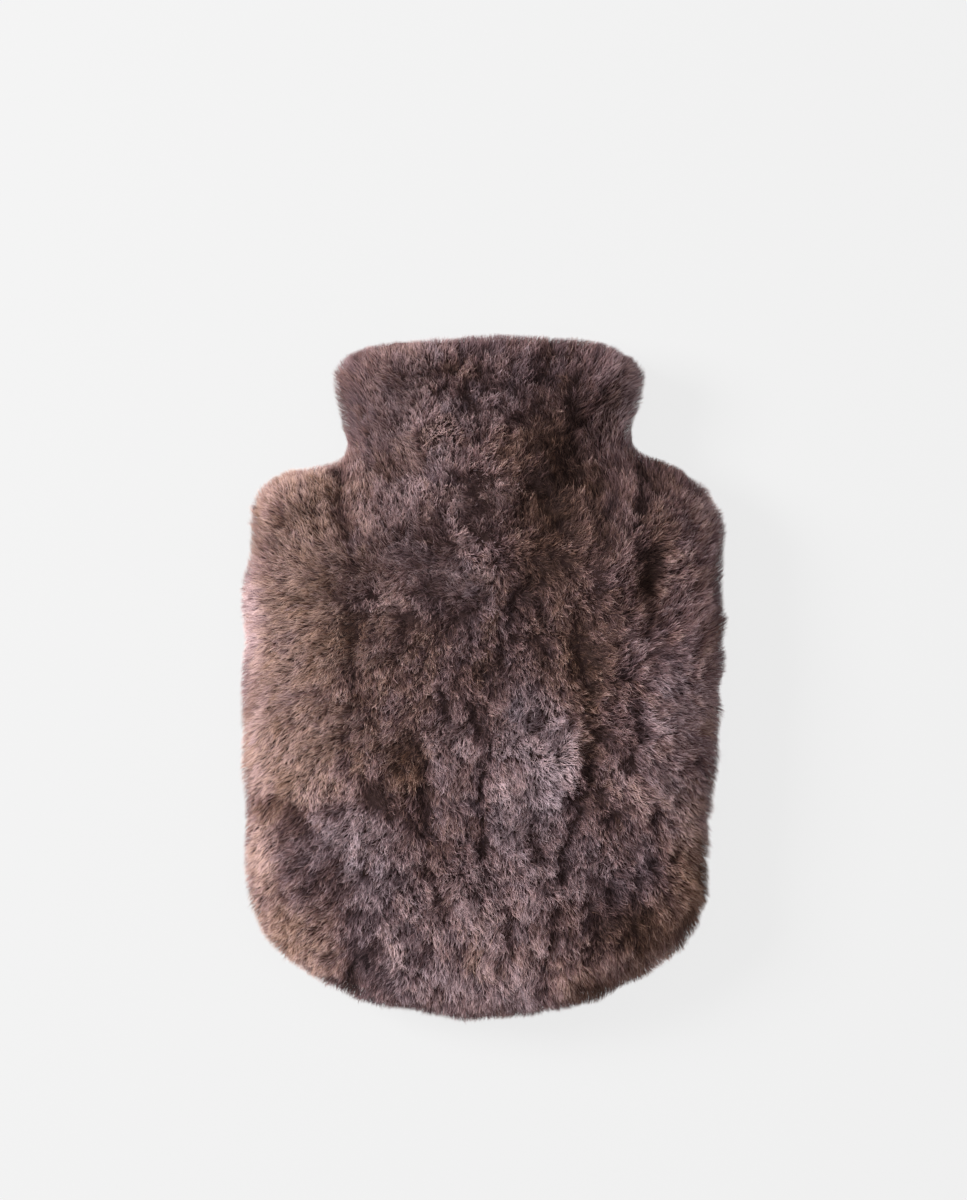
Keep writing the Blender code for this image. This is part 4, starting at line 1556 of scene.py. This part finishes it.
    def ribbons(self, coat: Coat, path: np.ndarray, rng: np.random.Generator) -> np.ndarray:
        """Give the hairs their width.

        Args:
            coat: The hairs.
            path: Their points in space.
            rng: Where the chances come from.

        Returns:
            For each hair its left points, its right points and its tip.
        """
        count, points = path.shape[:2]
        along = unit(np.gradient(path, axis=1))
        across = unit(np.cross(along, coat.normals[:, None]))
        roll = rng.normal(0, self.roll, count)[:, None]
        facing = np.cross(across, along)
        across = across * np.cos(roll)[:, :, None] + facing * np.sin(roll)[:, :, None]
        taper = np.interp(np.linspace(0, 1, points), self.taper_at, self.taper)
        fine = rng.uniform(*self.fineness, count) * (1 - self.finer_brushed * coat.brushed)
        half = (self.width / 2 * fine[:, None] * taper)[:, :, None]
        left = path - across * half
        right = path + across * half
        return np.concatenate([left[:, :-1], right[:, :-1], path[:, -1:]], axis=1)

    def shades(
        self, coat: Coat, points: int, rng: np.random.Generator
    ) -> tuple[np.ndarray, np.ndarray]:
        """Colour the hairs.

        Args:
            coat: The hairs.
            points: How many points a hair has from its root to its tip.
            rng: Where the chances come from.

        Returns:
            Each hair's hue, and its tone at each of its points.
        """
        tones = self.tones
        count = len(coat.roots)
        hue = np.clip(coat.hue + rng.normal(0, self.hues.scatter, count), *MAP_LIMITS)
        tip = np.clip(coat.tone + rng.normal(0, tones.scatter, count), *tones.tip_limits)
        bright = rng.random(count) < tones.bright_share * (1 - coat.brushed)
        brighter = np.clip(tip + rng.uniform(*tones.brighter_by, count), 0, 1)
        tip = np.where(bright, brighter, tip)
        # Painted shade: each hair darkens from its tip to a near-black root, less where brushed or
        # pale
        pale = np.clip(coat.tone - tones.pale_from, 0, 1)
        fade = tones.fade - tones.fade_less_brushed * coat.brushed - tones.fade_less_pale * pale
        steps = np.linspace(0, 1, points)
        tone = tones.root + (tip[:, None] - tones.root) * steps ** fade[:, None]
        return hue, np.clip(tone, *MAP_LIMITS)

    def mesh(
        self, name: str, coat: Coat, path: np.ndarray, rng: np.random.Generator
    ) -> bpy.types.Mesh:
        """Make hairs one mesh of tapered ribbons, with their hue and tone as its map.

        Args:
            name: The mesh's name.
            coat: The hairs.
            path: Their points in space.
            rng: Where the chances come from.

        Returns:
            The mesh.
        """
        points = path.shape[1]
        joints = points - 1
        corners = self.ribbons(coat, path, rng)
        mesh, loops = joined_mesh(name, corners, ribbon_faces(joints))
        hue, tone = self.shades(coat, points, rng)
        edge = np.concatenate([-np.ones(joints), np.ones(joints), np.zeros(1)])
        rank = np.concatenate([np.arange(joints), np.arange(joints), [joints]])
        hues = hue[:, None] + edge * self.hues.across_hair
        at_corner = np.stack([hues, tone[:, rank]], axis=2).reshape(-1, 2)
        layer = mesh.uv_layers.new(name=HAIR_MAP)
        layer.uv.foreach_set("vector", at_corner[loops].astype(np.float32).ravel())
        return mesh

    def pieces(self, material: bpy.types.Material) -> list[bpy.types.Object]:
        """Build the fleece, in zones from the bottom up to the mouth.

        Args:
            material: Its material.

        Returns:
            A piece for each zone.
        """
        rng = np.random.default_rng(self.seed)
        coat, path = self.grown(rng)
        edges = (-math.inf, *self.zones, math.inf)
        made = []
        for index, (low, high) in enumerate(zip(edges, edges[1:])):
            here = (coat.roots[:, 1] >= low) & (coat.roots[:, 1] < high)
            part = Coat(**{key: value[here] for key, value in vars(coat).items()})
            name = f"{self.side.value}_fleece_{index + 1}"
            mesh = self.mesh(name, part, path[here], rng)
            made.append(add_piece(name, mesh, material))
        return made


# ---------------------------------------------------------------- the sheepskins


@dataclass
class Sheepskin:
    """One panel: its hide, its undercoat and its fleece."""

    side: Side
    hairs: int
    zones: tuple[float, ...]
    flat_size: tuple[float, float]
    flat_area: float
    seed: int
    undercoat_depth: float = 4.6 * MM
    undercoat_depth_on_top: float = 5.8 * MM
    hide_thickness: float = 1.5 * MM
    hide_gap: float = 0.2 * MM
    hide_short_of_lip: float = 5.0 * MM
    rim_bend: float = 44 * MM
    rim_slope: float = 0.36
    seam_gap: float = 0.6 * MM
    sharp_from: float = math.radians(50)

    def outward_moves(self, panel: bmesh.types.BMesh) -> dict[bmesh.types.BMVert, Vector]:
        """Find which way is out at the points of the outer faces.

        Args:
            panel: A copy of this panel's solid.

        Returns:
            For each such point the mean direction out of its outer faces.
        """
        outer = panel.faces.layers.int["outer"]
        moves = {}
        for vertex in panel.verts:
            found = [face.normal for face in vertex.link_faces if face[outer]]
            if found:
                moves[vertex] = sum(found, Vector()).normalized()
        return moves

    def undercoat(self, material: bpy.types.Material) -> bpy.types.Object:
        """Build the undercoat: the panel's solid with its outer face set in, under the fleece.

        Args:
            material: Its material.

        Returns:
            The undercoat.
        """
        panel = panel_copy(self.side)
        outward = self.outward_moves(panel)
        for vertex in panel.verts:
            if vertex in outward:
                level = max(2 * abs(outward[vertex].z) - 1, 0)
                deeper = level * (self.undercoat_depth_on_top - self.undercoat_depth)
                vertex.co -= outward[vertex] * (self.undercoat_depth + deeper)
            else:
                vertex.co -= vertex.normal * (self.hide_thickness + self.hide_gap)
        mesh = bpy.data.meshes.new(f"{self.side.value}_undercoat")
        panel.to_mesh(mesh)
        panel.free()
        mesh.shade_smooth()
        return add_piece(mesh.name, mesh, material)

    def hide(self, material: bpy.types.Material) -> bpy.types.Object:
        """Build the skin itself, a thin sheet round the cover's hollow.

        Args:
            material: Its material.

        Returns:
            The hide.
        """
        panel = panel_copy(self.side)
        top = max(vertex.co.y for vertex in panel.verts) - self.hide_short_of_lip
        bmesh.ops.delete(panel, geom=self.seam_faces(panel), context="FACES")
        bend, tilt = self.rim_bend, self.rim_slope
        for across, slope in ((0, 0), (bend, tilt), (-bend, -tilt)):
            bmesh.ops.bisect_plane(
                panel,
                geom=[*panel.verts, *panel.edges, *panel.faces],
                plane_co=(across, top, 0),
                plane_no=(slope, 1, 0),
                clear_outer=True,
            )
        # Without its seam and lip the panel is two walls, and the hide is the one round the hollow
        outermost = max(panel.faces, key=lambda face: abs(face.calc_center_median().z - SEAM_UP))
        outer_wall = joined_to(outermost)
        # A set has no fixed order, so its faces go in the panel's own, the same each run
        spare = [face for face in panel.faces if face in outer_wall]
        bmesh.ops.delete(panel, geom=spare, context="FACES")
        bmesh.ops.solidify(panel, geom=panel.faces, thickness=self.hide_thickness)
        bmesh.ops.recalc_face_normals(panel, faces=panel.faces)
        # Solidify returns the same points each run but its faces in a new order, so they are sorted
        panel.verts.index_update()
        by_points = sorted(panel.faces, key=lambda face: sorted(point.index for point in face.verts))
        ranks = {face: rank for rank, face in enumerate(by_points)}
        panel.faces.sort(key=lambda face: ranks[face])
        mesh = bpy.data.meshes.new(f"{self.side.value}_hide")
        panel.to_mesh(mesh)
        panel.free()
        mesh.shade_smooth()
        mesh.set_sharp_from_angle(angle=self.sharp_from)
        return add_piece(mesh.name, mesh, material)

    def seam_faces(self, panel: bmesh.types.BMesh) -> list[bmesh.types.BMFace]:
        """Find the faces along which the two panels meet.

        Args:
            panel: A copy of this panel's solid.

        Returns:
            Its faces that lie against the other panel all over.
        """
        other = panel_copy(self.side.other)
        tree = BVHTree.FromBMesh(other)
        other.free()
        return [
            face
            for face in panel.faces
            if all(tree.find_nearest(vertex.co)[3] < self.seam_gap for vertex in face.verts)
        ]

    def build(
        self, fleece: bpy.types.Material, undercoat: bpy.types.Material, hide: bpy.types.Material
    ) -> None:
        """Args:
            fleece: The fleece's material.
            undercoat: The undercoat's material.
            hide: The hide's material.
        """
        coat = self.undercoat(undercoat)
        skin = self.hide(hide)
        wool = Fleece(
            side=self.side,
            skin=Skin.of(self.side),
            comb=Comb(),
            hairs=self.hairs,
            zones=self.zones,
            seed=self.seed,
        )
        tufts = wool.pieces(fleece)
        for piece in (coat, skin, *tufts):
            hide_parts(self.side.node)


# ---------------------------------------------------------------- studio


@dataclass(frozen=True)
class Lamp:
    """A square soft light."""

    name: str
    place: tuple[float, float, float]
    size: float
    power: float
    aim: tuple[float, float, float] = (0.0, 0.0, 0.0)

    def hang(self) -> None:
        """Put the light in the scene."""
        lamp = bpy.data.lights.new(self.name, "AREA")
        lamp.size = self.size
        lamp.energy = self.power
        holder = bpy.data.objects.new(self.name, lamp)
        holder.location = self.place
        ray = Vector(self.aim) - Vector(self.place)
        holder.rotation_euler = ray.to_track_quat("-Z", "Y").to_euler()
        bpy.context.scene.collection.objects.link(holder)


@dataclass(frozen=True)
class Studio:
    """A pale floor, soft light, and the camera straight above, as in the photograph."""

    camera_height: float = 2.4
    floor_size: float = 6.0
    floor_colour: Colour = (0.05, 0.05, 0.05)
    floor_glow: float = 0.80
    floor_roughness: float = 0.9
    room_light: float = 0.24
    lamps: tuple[Lamp, ...] = (
        Lamp(name="key", place=(-1.8, 0.6, 1.5), size=0.9, power=108),
        Lamp(name="top", place=(0.2, 0.3, 2.6), size=1.6, power=16),
    )

    def floor(self) -> None:
        """Lay the floor that the cover lies on."""
        sheet = bmesh.new()
        bmesh.ops.create_grid(sheet, x_segments=1, y_segments=1, size=self.floor_size / 2)
        mesh = bpy.data.meshes.new("floor")
        sheet.to_mesh(mesh)
        sheet.free()
        floor = bpy.data.objects.new("floor", mesh)
        material = plain_material("floor", self.floor_roughness)
        shader = material.node_tree.nodes["shader"]
        shader.inputs["Base Color"].default_value = (*self.floor_colour, 1.0)
        shader.inputs["Emission Color"].default_value = (1.0, 1.0, 1.0, 1.0)
        shader.inputs["Emission Strength"].default_value = self.floor_glow
        mesh.materials.append(material)
        bpy.context.scene.collection.objects.link(floor)

    def room(self) -> None:
        """Fill the room with an even light."""
        world = bpy.data.worlds.new("room")
        world.use_nodes = True
        background = world.node_tree.nodes["Background"]
        background.inputs["Color"].default_value = (1.0, 1.0, 1.0, 1.0)
        background.inputs["Strength"].default_value = self.room_light
        bpy.context.scene.world = world

    def camera(self) -> None:
        """Set the camera so that the cover lies where the photograph shows it."""
        data = bpy.data.cameras.new("camera")
        data.sensor_fit = "VERTICAL"
        tall = PHOTO_SIZE[1] * PIXEL
        data.lens = data.sensor_height * (self.camera_height - SEAM_UP) / tall
        camera = bpy.data.objects.new("camera", data)
        across = (PHOTO_SIZE[0] / 2 - MIDDLE_PIXEL[0]) * PIXEL
        up = (MIDDLE_PIXEL[1] - PHOTO_SIZE[1] / 2) * PIXEL
        camera.location = (across, up, self.camera_height)
        bpy.context.scene.collection.objects.link(camera)
        bpy.context.scene.camera = camera

    def build(self) -> None:
        """Set up the studio."""
        bpy.context.scene.view_settings.view_transform = "Standard"
        self.floor()
        self.room()
        for lamp in self.lamps:
            lamp.hang()
        self.camera()


# ---------------------------------------------------------------- building


def main() -> None:
    """Build the cover and the studio round it."""
    logging.basicConfig(level=logging.INFO, format="%(name)s: %(message)s")
    Studio().build()
    wool = Wool()
    finishes = {
        "fleece": FleeceFinish(wool).material(),
        "undercoat": UndercoatFinish(wool).material(),
        "hide": HideFinish().material(),
    }
    Sheepskin(
        side=Side.FRONT,
        hairs=222_000,
        zones=(-85 * MM, -15 * MM, 60 * MM),
        flat_size=(0.27, 0.36),
        flat_area=0.0692,
        seed=11,
    ).build(**finishes)
    Sheepskin(
        side=Side.BACK,
        hairs=88_000,
        zones=(0.0,),
        flat_size=(0.27, 0.36),
        flat_area=0.069,
        seed=12,
    ).build(**finishes)


if __name__ == "__main__":
    main()
